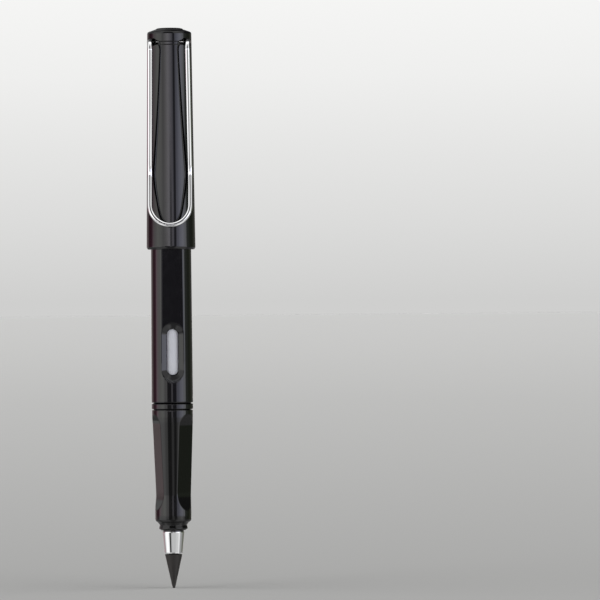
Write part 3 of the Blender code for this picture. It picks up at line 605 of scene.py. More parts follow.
def moulded_black(name, colour, polish, scuffing, dust_share, wave):
    """Moulded black plastic: polished, faintly wavy, with hairline scuffs and a little dust."""
    material, tree, shader = new_material(name, colour)
    skin = use_group(tree, SKIN, Wave_Scale=wave)
    dust = use_group(tree, DUST, Share=dust_share)
    set_inputs(tree, shader, {
        "Base Color": blend(tree, dust["Mask"], colour, DUST_COLOUR),
        "Roughness": scuffed(tree, skin, polish, scuffing, 0.25),
    })
    bump(tree, shader, skin["Height"], 0.004 * MM)
    return material


def chrome(name, polish):
    """Bright chromed metal with a little haze and hairlines."""
    material, tree, shader = new_material(name, (0.84, 0.845, 0.85), metallic=1.0)
    skin = use_group(tree, SKIN, Wave_Scale=500.0, Grain=0.05)
    set_inputs(tree, shader, {"Roughness": scuffed(tree, skin, polish, 0.6, 0.12)})
    bump(tree, shader, skin["Height"], 0.0006 * MM)
    return material


def graphite_alloy():
    """The tip's alloy: dull, dark and warm, with turning rings and a rubbed, shinier end."""
    material, tree, shader = new_material("graphite_alloy", (0.065, 0.058, 0.055), metallic=0.35)
    skin = use_group(tree, SKIN, Wave_Scale=900.0, Grain_Scale=9000.0, Grain=0.8)
    rings = use_group(tree, TURNING, Lines=5200.0)
    parts = add_node(tree, "ShaderNodeSeparateXYZ", {"Vector": object_points(tree)})
    rubbed = spread(tree, parts.outputs["Z"], 1.0, 0.0, 0.4 * MM, 2.2 * MM)
    dull = spread(tree, skin["Polish"], 0.46, 0.6)
    set_inputs(tree, shader, {
        "Base Color": blend(tree, skin["Polish"], (0.029, 0.026, 0.025), (0.056, 0.050, 0.047)),
        "Roughness": compute(tree, "SUBTRACT", dull, spread(tree, rubbed, 0.0, 0.16, 0.0, 1.0)),
    })
    first = bump(tree, shader, skin["Height"], 0.012 * MM)
    bump(tree, shader, rings["Height"], 0.012 * MM, below=first)
    return material


def milky_plastic():
    """The tube behind the window: milky, a little translucent, satin."""
    material, tree, shader = new_material("milky_plastic", (0.89, 0.91, 1.0))
    skin = use_group(tree, SKIN, Wave_Scale=260.0, Grain=0.2)
    set_inputs(tree, shader, {
        "Subsurface Weight": 0.1, "Subsurface Scale": 0.3 * MM, "Subsurface Radius": (1.0, 1.0, 1.0),
        "Base Color": blend(tree, skin["Polish"], (0.87, 0.89, 0.98), (0.92, 0.94, 1.0)),
        "Roughness": spread(tree, skin["Polish"], 0.28, 0.42),
    })
    bump(tree, shader, skin["Height"], 0.006 * MM)
    return material


def turned_steel():
    """The stud's steel, with turning rings."""
    material, tree, shader = new_material("turned_steel", (0.45, 0.44, 0.42), metallic=1.0)
    skin = use_group(tree, SKIN, Wave_Scale=700.0, Grain=0.3)
    rings = use_group(tree, TURNING, Lines=12000.0)
    set_inputs(tree, shader, {
        "Base Color": blend(tree, skin["Polish"], (0.40, 0.39, 0.37), (0.50, 0.49, 0.47)),
        "Roughness": spread(tree, skin["Polish"], 0.22, 0.36),
    })
    bump(tree, shader, rings["Height"], 0.006 * MM)
    return material


GLOSS_BLACK = moulded_black("gloss_black", (0.002, 0.0018, 0.003), (0.03, 0.07), 0.5, 0.012, 150.0)
GRIP_BLACK = moulded_black("grip_black", (0.002, 0.002, 0.002), (0.05, 0.10), 0.7, 0.02, 170.0)
RING_BLACK = moulded_black("ring_black", (0.002, 0.002, 0.0024), (0.05, 0.10), 0.3, 0.012, 220.0)
SATIN_BLACK = moulded_black("satin_black", (0.006, 0.006, 0.0065), (0.30, 0.42), 0.3, 0.004, 220.0)
CLIP_CHROME = chrome("clip_chrome", (0.02, 0.05))
FERRULE_CHROME = chrome("ferrule_chrome", (0.03, 0.06))
GRAPHITE_ALLOY = graphite_alloy()
MILKY_PLASTIC = milky_plastic()
TURNED_STEEL = turned_steel()


# Pieces

def make_writing_tip():
    return turned(
        "writing_tip_turned",
        [
            (0.0, TIP_STEM_TOP), (TIP_STEM_RADIUS, TIP_STEM_TOP, 0.12 * MM),
            (TIP_STEM_RADIUS, FERRULE_Z - GROOVE_GAP), (TIP_GROOVE_RADIUS, FERRULE_Z - GROOVE_GAP),
            (TIP_GROOVE_RADIUS, TIP_LENGTH), (TIP_BACK_RADIUS, TIP_LENGTH, 0.12 * MM),
            (TIP_NOSE_RADIUS, TIP_NOSE_Z, 0.3 * MM), (TIP_POINT_RADIUS, 0.0, 0.12 * MM), (0.0, 0.0),
        ],
        GRAPHITE_ALLOY, SMALL_STEPS, closed=False,
    )


def make_tip_ferrule():
    heights = [FERRULE_TOP_Z - row for row in FERRULE_EDGE_ROWS]
    heights += [FERRULE_Z + row for row in reversed(FERRULE_EDGE_ROWS)]
    front, back = (FERRULE_FRONT_RADIUS, FERRULE_Z), (FERRULE_BACK_RADIUS, FERRULE_TOP_Z)
    return turned(
        "tip_ferrule_turned",
        [
            (*back, 0.14 * MM), *taper_rows(heights, front, back), (*front, 0.12 * MM),
            (FERRULE_BORE_RADIUS, FERRULE_Z, 0.08 * MM), (FERRULE_BORE_RADIUS, FERRULE_TOP_Z, 0.08 * MM),
        ],
        FERRULE_CHROME,
    )


def make_tip_stud():
    """The stud with its screw thread, and the bore that holds the tip's stem."""
    bm = bmesh.new()
    profile_wire(bm, [
        (0.0, STUD_TOP_Z), (STUD_ROOT_RADIUS, STUD_TOP_Z, 0.2 * MM), (STUD_ROOT_RADIUS, STUD_CORE_Z),
        (STUD_CREST_RADIUS, STUD_SHOULDER_TOP_Z, 0.05 * MM),
        (STUD_CREST_RADIUS, STUD_SHOULDER_Z, 0.05 * MM), (STUD_NECK_RADIUS, STUD_SHOULDER_Z),
        (STUD_NECK_RADIUS, FERRULE_Z, 0.06 * MM), (STUD_BORE_RADIUS, FERRULE_Z),
        (STUD_BORE_RADIUS, STUD_BORE_TOP), (0.0, STUD_BORE_TOP),
    ], closed=False)
    bm = spun(bm, SMALL_STEPS)
    add_thread(bm, STUD_ROOT_RADIUS, STUD_CREST_RADIUS, STUD_PITCH, STUD_THREAD, STUD_THREAD_STEPS)
    return to_object(bm, "tip_stud_threaded", TURNED_STEEL)


def grip_radius(z):
    """The grip's radius where it tapers from its back to its waist."""
    low, high = GRIP_WAIST_Z, GRIP_TOP_Z - GRIP_BACK_STRAIGHT
    return between(min(max(z, low), high), low, high, GRIP_WAIST_RADIUS, GRIP_BACK_RADIUS)


FINGER_BACK = grip_radius(FINGER_BACK_Z) - FINGER_BACK_DEPTH
FINGER_FRONT = grip_radius(FINGER_FRONT_Z) - FINGER_FRONT_DEPTH
FINGER_TILT = math.atan2(FINGER_BACK - FINGER_FRONT, FINGER_BACK_Z - FINGER_FRONT_Z)


def finger_floor(across, z):
    """How far from the axis a finger flat's floor is: straight, and curving out at both ends."""
    if FINGER_FRONT_Z <= z <= FINGER_BACK_Z:
        return between(z, FINGER_FRONT_Z, FINGER_BACK_Z, FINGER_FRONT, FINGER_BACK)
    if z > FINGER_BACK_Z:
        foot, foot_z, curve = FINGER_BACK, FINGER_BACK_Z, FINGER_BACK_CURVE
    else:
        foot, foot_z, curve = FINGER_FRONT, FINGER_FRONT_Z, FINGER_FRONT_CURVE
    centre = foot + curve * math.cos(FINGER_TILT)
    rise = z - (foot_z - curve * math.sin(FINGER_TILT))
    if abs(rise) > FINGER_CURVE_SHARE * curve:
        return None
    return centre - math.sqrt(curve**2 - rise**2)


def make_grip_section():
    """The grip: spigot, taper, finger flats, flared nose, neck and lip."""
    bm = bmesh.new()
    waist = []
    for i in range(GRIP_WAIST_PARTS + 1):
        ease = 0.5 - 0.5 * math.cos(math.pi * i / GRIP_WAIST_PARTS)
        z = between(i, 0, GRIP_WAIST_PARTS, GRIP_WAIST_Z, GRIP_FLARE_Z)
        waist.append((GRIP_WAIST_RADIUS + (GRIP_FLARE_RADIUS - GRIP_WAIST_RADIUS) * ease, z))
    shoulder_x = GRIP_FLARE_RADIUS - GRIP_SHOULDER_ROUNDING
    shoulder_z = GRIP_SHOULDER_Z + GRIP_SHOULDER_ROUNDING
    shoulder = []
    for i in range(GRIP_SHOULDER_PARTS + 1):
        angle = GRIP_SHOULDER_END * i / GRIP_SHOULDER_PARTS
        shoulder.append((
            shoulder_x + GRIP_SHOULDER_ROUNDING * math.cos(angle),
            shoulder_z + GRIP_SHOULDER_ROUNDING * math.sin(angle),
        ))
    profile_wire(bm, [
        (SPIGOT_ROOT_RADIUS, SPIGOT_TOP_Z, 0.2 * MM), (SPIGOT_ROOT_RADIUS, SPIGOT_CORE_Z, 0.1 * MM),
        (SPIGOT_CREST_RADIUS, SPIGOT_SHOULDER_Z, 0.05 * MM), (SPIGOT_CREST_RADIUS, GRIP_TOP_Z),
        (GRIP_BACK_RADIUS, GRIP_TOP_Z, 0.08 * MM),
        (GRIP_BACK_RADIUS, GRIP_TOP_Z - GRIP_BACK_STRAIGHT, 0.8 * MM),
        *waist, *shoulder,
        (GRIP_NECK_RADIUS, GRIP_NECK_Z, 0.25 * MM), (GRIP_LIP_RADIUS, GRIP_LIP_TOP_Z, 0.12 * MM),
        (GRIP_LIP_RADIUS, GRIP_LIP_Z, 0.12 * MM), (GRIP_NOSE_FACE_RADIUS, GRIP_Z, 0.1 * MM),
        (GRIP_GROOVE_RADIUS, GRIP_Z), (GRIP_GROOVE_RADIUS, FERRULE_TOP_Z + GROOVE_GAP),
        (GRIP_NOSE_BORE_RADIUS, FERRULE_TOP_Z + GROOVE_GAP), (GRIP_NOSE_BORE_RADIUS, GRIP_BORE_STEP_Z),
        (GRIP_BORE_RADIUS, GRIP_BORE_STEP_Z + GRIP_BORE_RADIUS - GRIP_NOSE_BORE_RADIUS),
        (GRIP_BORE_RADIUS, SPIGOT_TOP_Z, 0.1 * MM),
    ])
    refine(bm, GRIP_NECK_RADIUS, GRIP_ROWS)
    bm = spun(bm, DENSE_STEPS)
    for side in (-1, 1):
        press(bm, GRIP_TURN + side * FINGER_ANGLE, SPIGOT_CREST_RADIUS, finger_floor, FINGER_SOFTNESS)
    add_thread(
        bm, SPIGOT_ROOT_RADIUS, SPIGOT_CREST_RADIUS, SPIGOT_PITCH, SPIGOT_THREAD, SPIGOT_THREAD_STEPS,
    )
    return to_object(bm, "grip_section_moulded", GRIP_BLACK)


def make_cap_snap_ring():
    return turned(
        "cap_snap_ring_turned",
        [
            (BARREL_FRONT_RADIUS, RING_TOP_Z, 0.12 * MM), (BARREL_FRONT_RADIUS, RING_TOP_Z - RING_TOP_ROW),
            (BARREL_FRONT_RADIUS, RING_Z + RING_LOW_ROW), (BARREL_FRONT_RADIUS, RING_Z, 0.06 * MM),
            (RING_GROOVE_RADIUS + RING_GROOVE_RIM, RING_Z), (RING_GROOVE_RADIUS, GRIP_TOP_Z + GROOVE_GAP),
            (RING_BORE_RADIUS, GRIP_TOP_Z + GROOVE_GAP), (RING_BORE_RADIUS, BARREL_Z - GROOVE_GAP),
            (RING_GROOVE_RADIUS, BARREL_Z - GROOVE_GAP),
            (RING_GROOVE_RADIUS + RING_GROOVE_RIM, RING_TOP_Z),
        ],
        RING_BLACK,
    )


def make_inner_tube():
    bore = TUBE_RADIUS - TUBE_WALL
    return turned(
        "inner_tube_moulded",
        [
            (0.0, TUBE_TOP_Z), (bore, TUBE_TOP_Z, 0.2 * MM),
            (TUBE_RADIUS, TUBE_TOP_Z - TUBE_WALL, 0.2 * MM), (TUBE_RADIUS, TUBE_Z, 0.1 * MM),
            (bore, TUBE_Z, 0.1 * MM), (bore, TUBE_TOP_Z - 2 * TUBE_WALL, 0.2 * MM),
            (0.0, TUBE_TOP_Z - TUBE_WALL),
        ],
        MILKY_PLASTIC, closed=False,
    )


def window_distance(across, z):
    """Distance from the window's oblong outline, negative inside."""
    radius = WINDOW_WIDTH / 2
    nearest = min(max(z, WINDOW_Z + radius), WINDOW_Z + WINDOW_LENGTH - radius)
    return math.hypot(across, z - nearest) - radius


def barrel_floor(across, z):
    """How far from the axis the barrel's flat is, with the countersink round the window."""
    margin = BARREL_FLAT_HALF_WIDTH - WINDOW_WIDTH / 2
    rise = BARREL_FLAT_DISTANCE - BARREL_BORE_RADIUS
    distance = window_distance(across, z)
    if distance < margin:
        slope = BARREL_BORE_RADIUS + rise * distance / margin
    else:
        slope = BARREL_FLAT_DISTANCE + (distance - margin) / WINDOW_END_SLOPE
    slope = max(slope, BARREL_BORE_RADIUS + WINDOW_LAND)
    if z > WINDOW_Z + BARREL_FLAT_HALF_WIDTH:
        return soft_min(slope, BARREL_FLAT_DISTANCE, BARREL_SOFTNESS)
    return slope


def extrude(bm, faces):
    """Extrudes faces and gives the new points, which still lie on the old ones."""
    made = bmesh.ops.extrude_face_region(bm, geom=faces)["geom"]
    return [v for v in made if isinstance(v, bmesh.types.BMVert)]


def window_hole(angle):
    """The window's oblong, as a solid that goes through the barrel's front wall."""
    bm = bmesh.new()
    radius = WINDOW_WIDTH / 2
    bmesh.ops.create_circle(bm, cap_ends=True, radius=radius, segments=WINDOW_STEPS)
    upper = [v for v in bm.verts if v.co.y > MERGE]
    bmesh.ops.translate(bm, verts=upper, vec=(0.0, WINDOW_LENGTH - WINDOW_WIDTH, 0.0))
    bmesh.ops.translate(bm, verts=extrude(bm, bm.faces[:]), vec=(0.0, 0.0, WINDOW_CUT_DEPTH))
    place = (
        Matrix.Rotation(angle, 4, "Z")
        @ Matrix.Translation((0.0, -TUBE_RADIUS + TUBE_WALL, WINDOW_Z + radius))
        @ Matrix.Rotation(math.pi / 2, 4, "X")
    )
    bmesh.ops.transform(bm, verts=bm.verts, matrix=place)
    bmesh.ops.recalc_face_normals(bm, faces=bm.faces)
    return to_object(bm, "window_hole")


def make_barrel():
    """The barrel, with a flat and a countersunk window on its front and on its back."""
    bm = bmesh.new()
    profile_wire(bm, [
        (BARREL_BACK_RADIUS, BARREL_TOP_Z, 0.15 * MM),
        (BARREL_FRONT_RADIUS, BARREL_Z + BARREL_FRONT_STRAIGHT),
        (BARREL_FRONT_RADIUS, BARREL_Z, 0.15 * MM),
        (BARREL_THREAD_BORE, BARREL_Z, 0.1 * MM), (BARREL_THREAD_BORE, BARREL_THREAD_TOP),
        (BARREL_BORE_RADIUS, BARREL_THREAD_TOP + BARREL_THREAD_BORE - BARREL_BORE_RADIUS),
        (BARREL_BORE_RADIUS, BARREL_TOP_Z),
    ])
    divide_longest(bm, BARREL_SKIN_RADIUS, BARREL_CUTS)
    refine(bm, BARREL_SKIN_RADIUS, WINDOW_ROWS)
    bm = spun(bm, DENSE_STEPS)
    for turn in (0.0, math.pi):
        press(bm, BARREL_TURN + turn, BARREL_SKIN_RADIUS, barrel_floor, BARREL_SOFTNESS)
    barrel = to_object(bm, "barrel_moulded", GLOSS_BLACK)
    cut(barrel, [window_hole(BARREL_TURN), window_hole(BARREL_TURN + math.pi)])
    return barrel


def make_barrel_end_plug():
    return turned(
        "barrel_end_plug_moulded",
        [
            (0.0, PLUG_TOP_Z), (PLUG_RADIUS, PLUG_TOP_Z, 0.3 * MM), (PLUG_RADIUS, PLUG_Z, 0.06 * MM),
            (TUBE_RADIUS, PLUG_Z), (TUBE_RADIUS, PLUG_STEM_Z, 0.3 * MM), (0.0, PLUG_STEM_Z),
        ],
        GLOSS_BLACK, closed=False,
    )


def slot_hole(side):
    """The opening in the cap's side for the wire, as a solid: square at the back, pointed in front."""
    bm = bmesh.new()
    length = SLOT_BACK_Y - SLOT_SHOULDER_Y
    bmesh.ops.create_cube(bm, size=1.0)
    bmesh.ops.scale(bm, verts=bm.verts, vec=(SLOT_LENGTH_X, length, 2 * SLOT_HALF_HEIGHT))
    front = [f for f in bm.faces if f.normal.y < -0.5]
    tip = extrude(bm, front)
    bmesh.ops.delete(bm, geom=front, context="FACES_ONLY")
    bmesh.ops.translate(bm, verts=tip, vec=(0.0, SLOT_FRONT_Y - SLOT_SHOULDER_Y, 0.0))
    bmesh.ops.scale(bm, verts=tip, vec=(1.0, 1.0, SLOT_POINT_SHARE))
    bmesh.ops.bevel(
        bm, geom=[e for e in bm.edges if abs(e.verts[0].co.x - e.verts[1].co.x) > MM],
        offset=SLOT_EDGE_ROUNDING, offset_type="OFFSET", segments=SLOT_EDGE_SEGMENTS,
        profile=0.5, affect="EDGES", material=-1,
    )
    x = side * (SLOT_INNER_X + SLOT_LENGTH_X / 2)
    middle = (x, (SLOT_BACK_Y + SLOT_SHOULDER_Y) / 2, CLIP_TOP.z)
    bmesh.ops.translate(bm, verts=bm.verts, vec=middle)
    bmesh.ops.recalc_face_normals(bm, faces=bm.faces)
    return to_object(bm, "slot_hole")


def make_cap_shell():
    """The cap: its rim, sloped head and bore, the band across its front and the wire's slots."""
    bm = bmesh.new()
    heights = (CAP_CORNER_Z - CAP_CORNER_ROW, CAP_RIM_TOP_Z + CAP_RIM_ROW)
    rim, corner = (CAP_RIM_RADIUS, CAP_RIM_TOP_Z), (CAP_HEAD_RADIUS, CAP_CORNER_Z)
    profile_wire(bm, [
        (FINIAL_SEAT_RADIUS, CAP_TOP_Z, 0.1 * MM), (*corner, CAP_CORNER_ROUNDING),
        *taper_rows(heights, rim, corner), (*rim, 0.2 * MM),
        (CAP_RIM_RADIUS - CAP_RIM_CHAMFER, CAP_Z, 0.12 * MM), (CAP_BORE_RADIUS, CAP_Z, 0.15 * MM),
        (CAP_BORE_RADIUS, CAP_BEAD_Z - CAP_BEAD_HALF_LENGTH),
        (CAP_BORE_RADIUS - CAP_BEAD_HEIGHT, CAP_BEAD_Z, 0.25 * MM),
        (CAP_BORE_RADIUS, CAP_BEAD_Z + CAP_BEAD_HALF_LENGTH), (CAP_BORE_TOP_RADIUS, CAP_STEP_Z),
        (CAP_HEAD_BORE_RADIUS, CAP_STEP_TOP_Z), (CAP_HEAD_BORE_RADIUS, CAP_CEILING_Z),
        (FINIAL_HOLE_RADIUS, CAP_CEILING_Z), (FINIAL_HOLE_RADIUS, FINIAL_SEAT_Z),
        (FINIAL_SEAT_RADIUS, FINIAL_SEAT_Z),
    ])
    divide_longest(bm, CAP_SKIN_RADIUS, CAP_CUTS)
    refine(bm, CAP_SKIN_RADIUS, BAND_ROWS)
    bm = spun(bm, DENSE_STEPS)
    for vert in bm.verts:
        x, y, z = vert.co
        radius = math.hypot(x, y)
        near = BAND_LOW_Z - BAND_WALL < z < BAND_TOP_Z + BAND_WALL
        if y < 0.0 and radius > CAP_SKIN_RADIUS and near:
            edge = max(BAND_LOW_Z - z, z - BAND_TOP_Z, abs(x) - BAND_HALF_WIDTH)
            depth = BAND_DEPTH * inside(edge, BAND_WALL)
            vert.co.x *= 1.0 - depth / radius
            vert.co.y *= 1.0 - depth / radius
    shell = to_object(bm, "cap_shell_moulded", GLOSS_BLACK)
    cut(shell, [slot_hole(-1), slot_hole(1)])
    return shell


def make_cap_liner():
    bore = FINIAL_HOLE_RADIUS
    return turned(
        "cap_liner_moulded",
        [
            (0.0, LINER_STEM_FLOOR_Z), (bore, LINER_STEM_FLOOR_Z), (bore, LINER_TOP_Z, 0.15 * MM),
            (LINER_RADIUS, LINER_TOP_Z, 0.2 * MM), (LINER_RADIUS, LINER_Z, 0.08 * MM),
            (LINER_BORE_RADIUS, LINER_Z, 0.2 * MM), (LINER_BORE_RADIUS, LINER_CEILING_Z, 0.2 * MM),
            (0.0, LINER_CEILING_Z),
        ],
        SATIN_BLACK, closed=False,
    )


def make_cap_finial():
    return turned(
        "cap_finial_moulded",
        [
            (0.0, FINIAL_TOP_Z), (FINIAL_FLAT_RADIUS, FINIAL_TOP_Z, 0.4 * MM),
            (FINIAL_DOME_RADIUS, FINIAL_DOME_Z, 0.25 * MM), (FINIAL_RADIUS, FINIAL_EDGE_Z, 0.09 * MM),
            (FINIAL_RADIUS, FINIAL_Z, 0.06 * MM), (FINIAL_STEM_RADIUS, FINIAL_Z),
            (FINIAL_STEM_RADIUS, FINIAL_STEM_Z, 0.15 * MM), (0.0, FINIAL_STEM_Z),
        ],
        GLOSS_BLACK, closed=False,
    )


def bend(before, corner, after, radius, parts):
    """Points on the arc that rounds a corner of a wire's route."""
    back = (before - corner).normalized()
    ahead = (after - corner).normalized()
    half_angle = back.angle(ahead) / 2
    reach = radius / math.tan(half_angle)
    centre = corner + (back + ahead).normalized() * (radius / math.sin(half_angle))
    start = corner + back * reach - centre
    end = corner + ahead * reach - centre
    total = start.angle(end)
    points = []
    for i in range(parts + 1):
        share = i / parts
        arm = math.sin((1 - share) * total) * start + math.sin(share * total) * end
        points.append(centre + arm / math.sin(total))
    return points


def clip_route():
    """The centre line of the clip's right half, from its end inside the cap to the foot of the U."""
    u_points = []
    for i in range(CLIP_U_PARTS + 1):
        angle = math.pi / 2 * i / CLIP_U_PARTS
        z = CLIP_U_Z - CLIP_KNEE.x * math.sin(angle)
        y = between(z, CLIP_END_Z, CLIP_KNEE.z, CLIP_END_Y, CLIP_KNEE.y)
        u_points.append(Vector((CLIP_KNEE.x * math.cos(angle), y, z)))
    return [
        CLIP_END,
        *bend(CLIP_END, CLIP_ENTRY, CLIP_TOP, CLIP_ENTRY_BEND, CLIP_ENTRY_PARTS),
        *bend(CLIP_ENTRY, CLIP_TOP, CLIP_KNEE, CLIP_TOP_BEND, CLIP_TOP_PARTS),
        *bend(CLIP_TOP, CLIP_KNEE, u_points[0], CLIP_KNEE_BEND, CLIP_KNEE_PARTS),
        *u_points,
    ]


def make_clip():
    """One bent wire, swept along its route."""
    right = clip_route()
    route = right + [Vector((-p.x, p.y, p.z)) for p in reversed(right[:-1])]
    curve = bpy.data.curves.new("clip_wire", "CURVE")
    curve.dimensions = "3D"
    curve.bevel_depth = WIRE_RADIUS
    curve.bevel_resolution = WIRE_RESOLUTION
    curve.use_fill_caps = True
    spline = curve.splines.new("POLY")
    spline.points.add(len(route) - 1)
    for point, place in zip(spline.points, route):
        point.co = (*place, 1.0)
    guide = add_object("clip_wire_guide", curve)
    bpy.context.view_layer.update()
    bm = bmesh.new()
    bm.from_mesh(guide.to_mesh())
    bpy.data.objects.remove(guide, do_unlink=True)
    weld(bm)
    return to_object(bm, "clip_wire", CLIP_CHROME)


# Each piece's function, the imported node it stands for, its body and its material slot
PIECES = [
    (make_writing_tip, "writing_tip", "tip", "tip_alloy"),
    (make_tip_ferrule, "tip_ferrule", "ferrule", "ferrule_chrome"),
    (make_tip_stud, "tip_stud", "tip", "stud_steel"),
    (make_grip_section, "grip_section", "section", "grip_black"),
    (make_cap_snap_ring, "cap_snap_ring", "section", "ring_black"),
    (make_barrel, "barrel", "barrel", "barrel_black"),
    (make_inner_tube, "inner_tube", "tube", "tube_white"),
    (make_barrel_end_plug, "barrel_end_plug", "barrel", "barrel_black"),
    (make_cap_shell, "cap_shell", "cap", "cap_black"),
    (make_cap_liner, "cap_liner", "cap", "liner_black"),
    (make_cap_finial, "cap_finial", "cap", "cap_black"),
    (make_clip, "clip", "clip", "clip_chrome"),
]
for make, node, body, slot in PIECES:
    piece = make()
    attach(piece, body)
    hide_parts(node)


# Studio

CAMERA_DISTANCE = 1600.0 * MM
CAMERA_RIGHT = 37.57 * MM
CAMERA_HEIGHT = 83.9 * MM
CAMERA_ROLL = math.radians(0.49)
FRAME_WIDTH = 175.44 * MM
SENSOR_WIDTH = 36.0

# Floor: its size, the light that reaches it, and its blue as a share of its grey
FLOOR_RADIUS = 30.0
FLOOR_LIGHT = 0.665
FLOOR_BLUE = 0.985

# Greys by height in the picture: the backdrop's from the horizon up, and the floor's from there down.
# The backdrop's blue is a level lower.
SKY_BLUE_DROP = 1
SKY_LEVELS = [(0.0, 207), (0.25, 219), (0.5, 229), (0.75, 239), (1.0, 245)]
# The floor's greys are painted shade: darkest at the pencil's foot, copying the backdrop's fall-off of
# light
FLOOR_LEVELS = [
    (0.0, 207), (0.17, 200), (0.35, 191), (0.52, 185), (0.69, 179), (0.87, 173), (0.955, 170), (1.0, 169),
]

# Light levels round the pencil by degrees to the right of the camera, from the lowest band up, and tints
LIGHT_UNDER = [(-180, 0.1), (-120, 0.15), (-90, 0.5), (0, 0.25), (90, 0.5), (120, 0.15), (180, 0.1)]
LIGHT_DEEP = [
    (-180, 0.1), (-120, 0.15), (-90, 0.9), (-30, 1.1), (-16, 0.4), (16, 0.4), (30, 1.1), (90, 0.9),
    (120, 0.15), (180, 0.1),
]
LIGHT_LOW = [
    (-180, 0.3), (-100, 0.35), (-80, 0.8), (-30, 0.9), (-16, 0.22), (16, 0.22), (30, 0.9), (80, 0.8),
    (100, 0.3), (180, 0.3),
]
LIGHT_BELOW = [
    (-180, 0.2), (-140, 0.15), (-128, 0.2), (-112, 0.5), (-95, 0.9), (-62, 1.0), (-49, 0.95), (-44, 0.03),
    (-31, 0.03), (-24, 0.4), (-13, 0.58), (22, 0.56), (34, 0.64), (60, 0.68), (68, 0.85), (78, 0.85),
    (86, 0.36), (110, 0.3), (135, 0.4), (180, 0.3),
]
LIGHT_LEGS = [
    (-180, 0.3), (-150, 0.5), (-128, 0.3), (-110, 0.6), (-92, 1.1), (-74, 1.3), (-50, 1.4), (-45, 0.06),
    (-16, 0.06), (-10, 0.45), (10, 0.6), (24, 1.0), (60, 1.1), (72, 0.9), (84, 0.4), (106, 0.3), (180, 0.3),
]
LIGHT_GRIP = [
    (-180, 0.2), (-150, 0.45), (-131, 0.47), (-128, 0.34), (-113, 0.26), (-101, 0.44), (-96, 1.1),
    (-72, 1.3), (-58, 1.45), (-48, 1.35), (-40, 0.95), (-29, 0.9), (-25, 0.16), (-7, 0.14), (-2, 0.5),
    (5, 0.65), (9, 0.4), (13, 0.15), (22, 0.16), (27, 0.5), (34, 0.9), (48, 1.2), (60, 1.5), (70, 1.0),
    (78, 0.65), (84, 0.26), (96, 0.2), (108, 0.12), (140, 0.17), (180, 0.2),
]
LIGHT_LEVEL = [
    (-180, 0.2), (-150, 0.42), (-131, 0.42), (-128, 0.2), (-113, 0.27), (-101, 0.5), (-96, 1.5),
    (-72, 1.62), (-58, 1.95), (-48, 1.9), (-40, 1.25), (-29, 1.35), (-25, 0.2), (-5, 0.15), (-3, 0.95),
    (3, 1.0), (5.5, 0.16), (20, 0.16), (24, 0.3), (27, 1.25), (35, 1.25), (48, 2.0), (62, 2.4), (72, 1.9),
    (80.5, 2.2), (82.5, 0.36), (96, 0.28), (106, 0.16), (120, 0.12), (140, 0.17), (180, 0.15),
]
BACK_LEFT = [
    (-180, 0.3), (-131, 0.36), (-127, 0.16), (-118, 0.14), (-106, 0.25), (-98, 0.45), (-92, 1.05),
    (-74, 1.5),
]
BACK_RIGHT = [(78, 1.7), (82, 0.45), (92, 0.34), (104, 0.16), (120, 0.1), (135, 0.15), (180, 0.14)]
LIGHT_UPPER = [
    *BACK_LEFT, (-66, 1.9), (-45, 1.7), (-34, 1.35), (-24, 1.75), (-8, 2.6), (-4, 2.4), (-1, 0.6), (5, 0.6),
    (8, 1.5), (14, 1.4), (18, 0.25), (26, 0.25), (29, 1.5), (36, 1.55), (43, 2.2), (60, 2.7), (68, 2.2),
    *BACK_RIGHT,
]
LIGHT_TOP = [
    *BACK_LEFT, (-66, 1.85), (-45, 1.7), (-34, 1.2), (-24, 1.65), (-10, 2.5), (-4, 2.3), (8, 1.5),
    (15, 1.0), (19, 0.22), (25, 0.22), (29, 1.2), (36, 1.5), (43, 2.0), (58, 2.6), (66, 2.3), *BACK_RIGHT,
]
LIGHT_HIGH = [
    (-180, 0.1), (-150, 0.4), (-128, 0.42), (-110, 0.3), (-92, 1.0), (-40, 1.2), (-28, 0.05), (18, 0.05),
    (26, 0.9), (72, 0.9), (90, 0.1), (120, 0.05), (180, 0.05),
]
LIGHT_OVERHEAD = [
    (-180, 0.05), (-125, 0.05), (-110, 1.1), (-45, 1.3), (-22, 0.45), (22, 0.45), (45, 1.3), (110, 1.1),
    (125, 0.05), (180, 0.05),
]
LIGHT_ZENITH = [(-180, 0.12), (-135, 0.2), (-100, 1.7), (0, 1.1), (100, 1.7), (135, 0.2), (180, 0.12)]
BACK_RIGHT_TINT = [
    (95, (0.92, 1.04, 0.85)), (120, (0.95, 1.08, 0.7)), (150, (1.0, 1.0, 0.9)), (180, (1.0, 0.8, 0.8)),
]
LIGHT_TINT = [
    (-180, (1.0, 0.85, 0.86)), (-133, (1.0, 0.8, 0.82)), (-126, (1.0, 0.45, 0.55)),
    (-108, (1.0, 0.42, 0.6)), (-100, (1.0, 0.55, 0.7)), (-92, (1.0, 0.8, 0.86)), (-80, (1.0, 0.95, 0.94)),
    (-60, (0.98, 1.0, 0.95)), (-20, (1.0, 0.97, 1.0)), (10, (1.0, 0.97, 1.1)), (35, (0.96, 0.98, 1.2)),
    (60, (0.97, 0.99, 1.15)), (78, (0.97, 1.0, 1.05)), *BACK_RIGHT_TINT,
]
LIGHT_SIDE_TINT = [
    (-180, (1.0, 0.85, 0.86)), (-133, (1.0, 0.8, 0.82)), (-126, (1.0, 0.65, 0.7)), (-108, (1.0, 0.75, 0.8)),
    (-95, (1.0, 1.0, 1.0)), (78, (1.0, 1.0, 1.0)), *BACK_RIGHT_TINT,
]
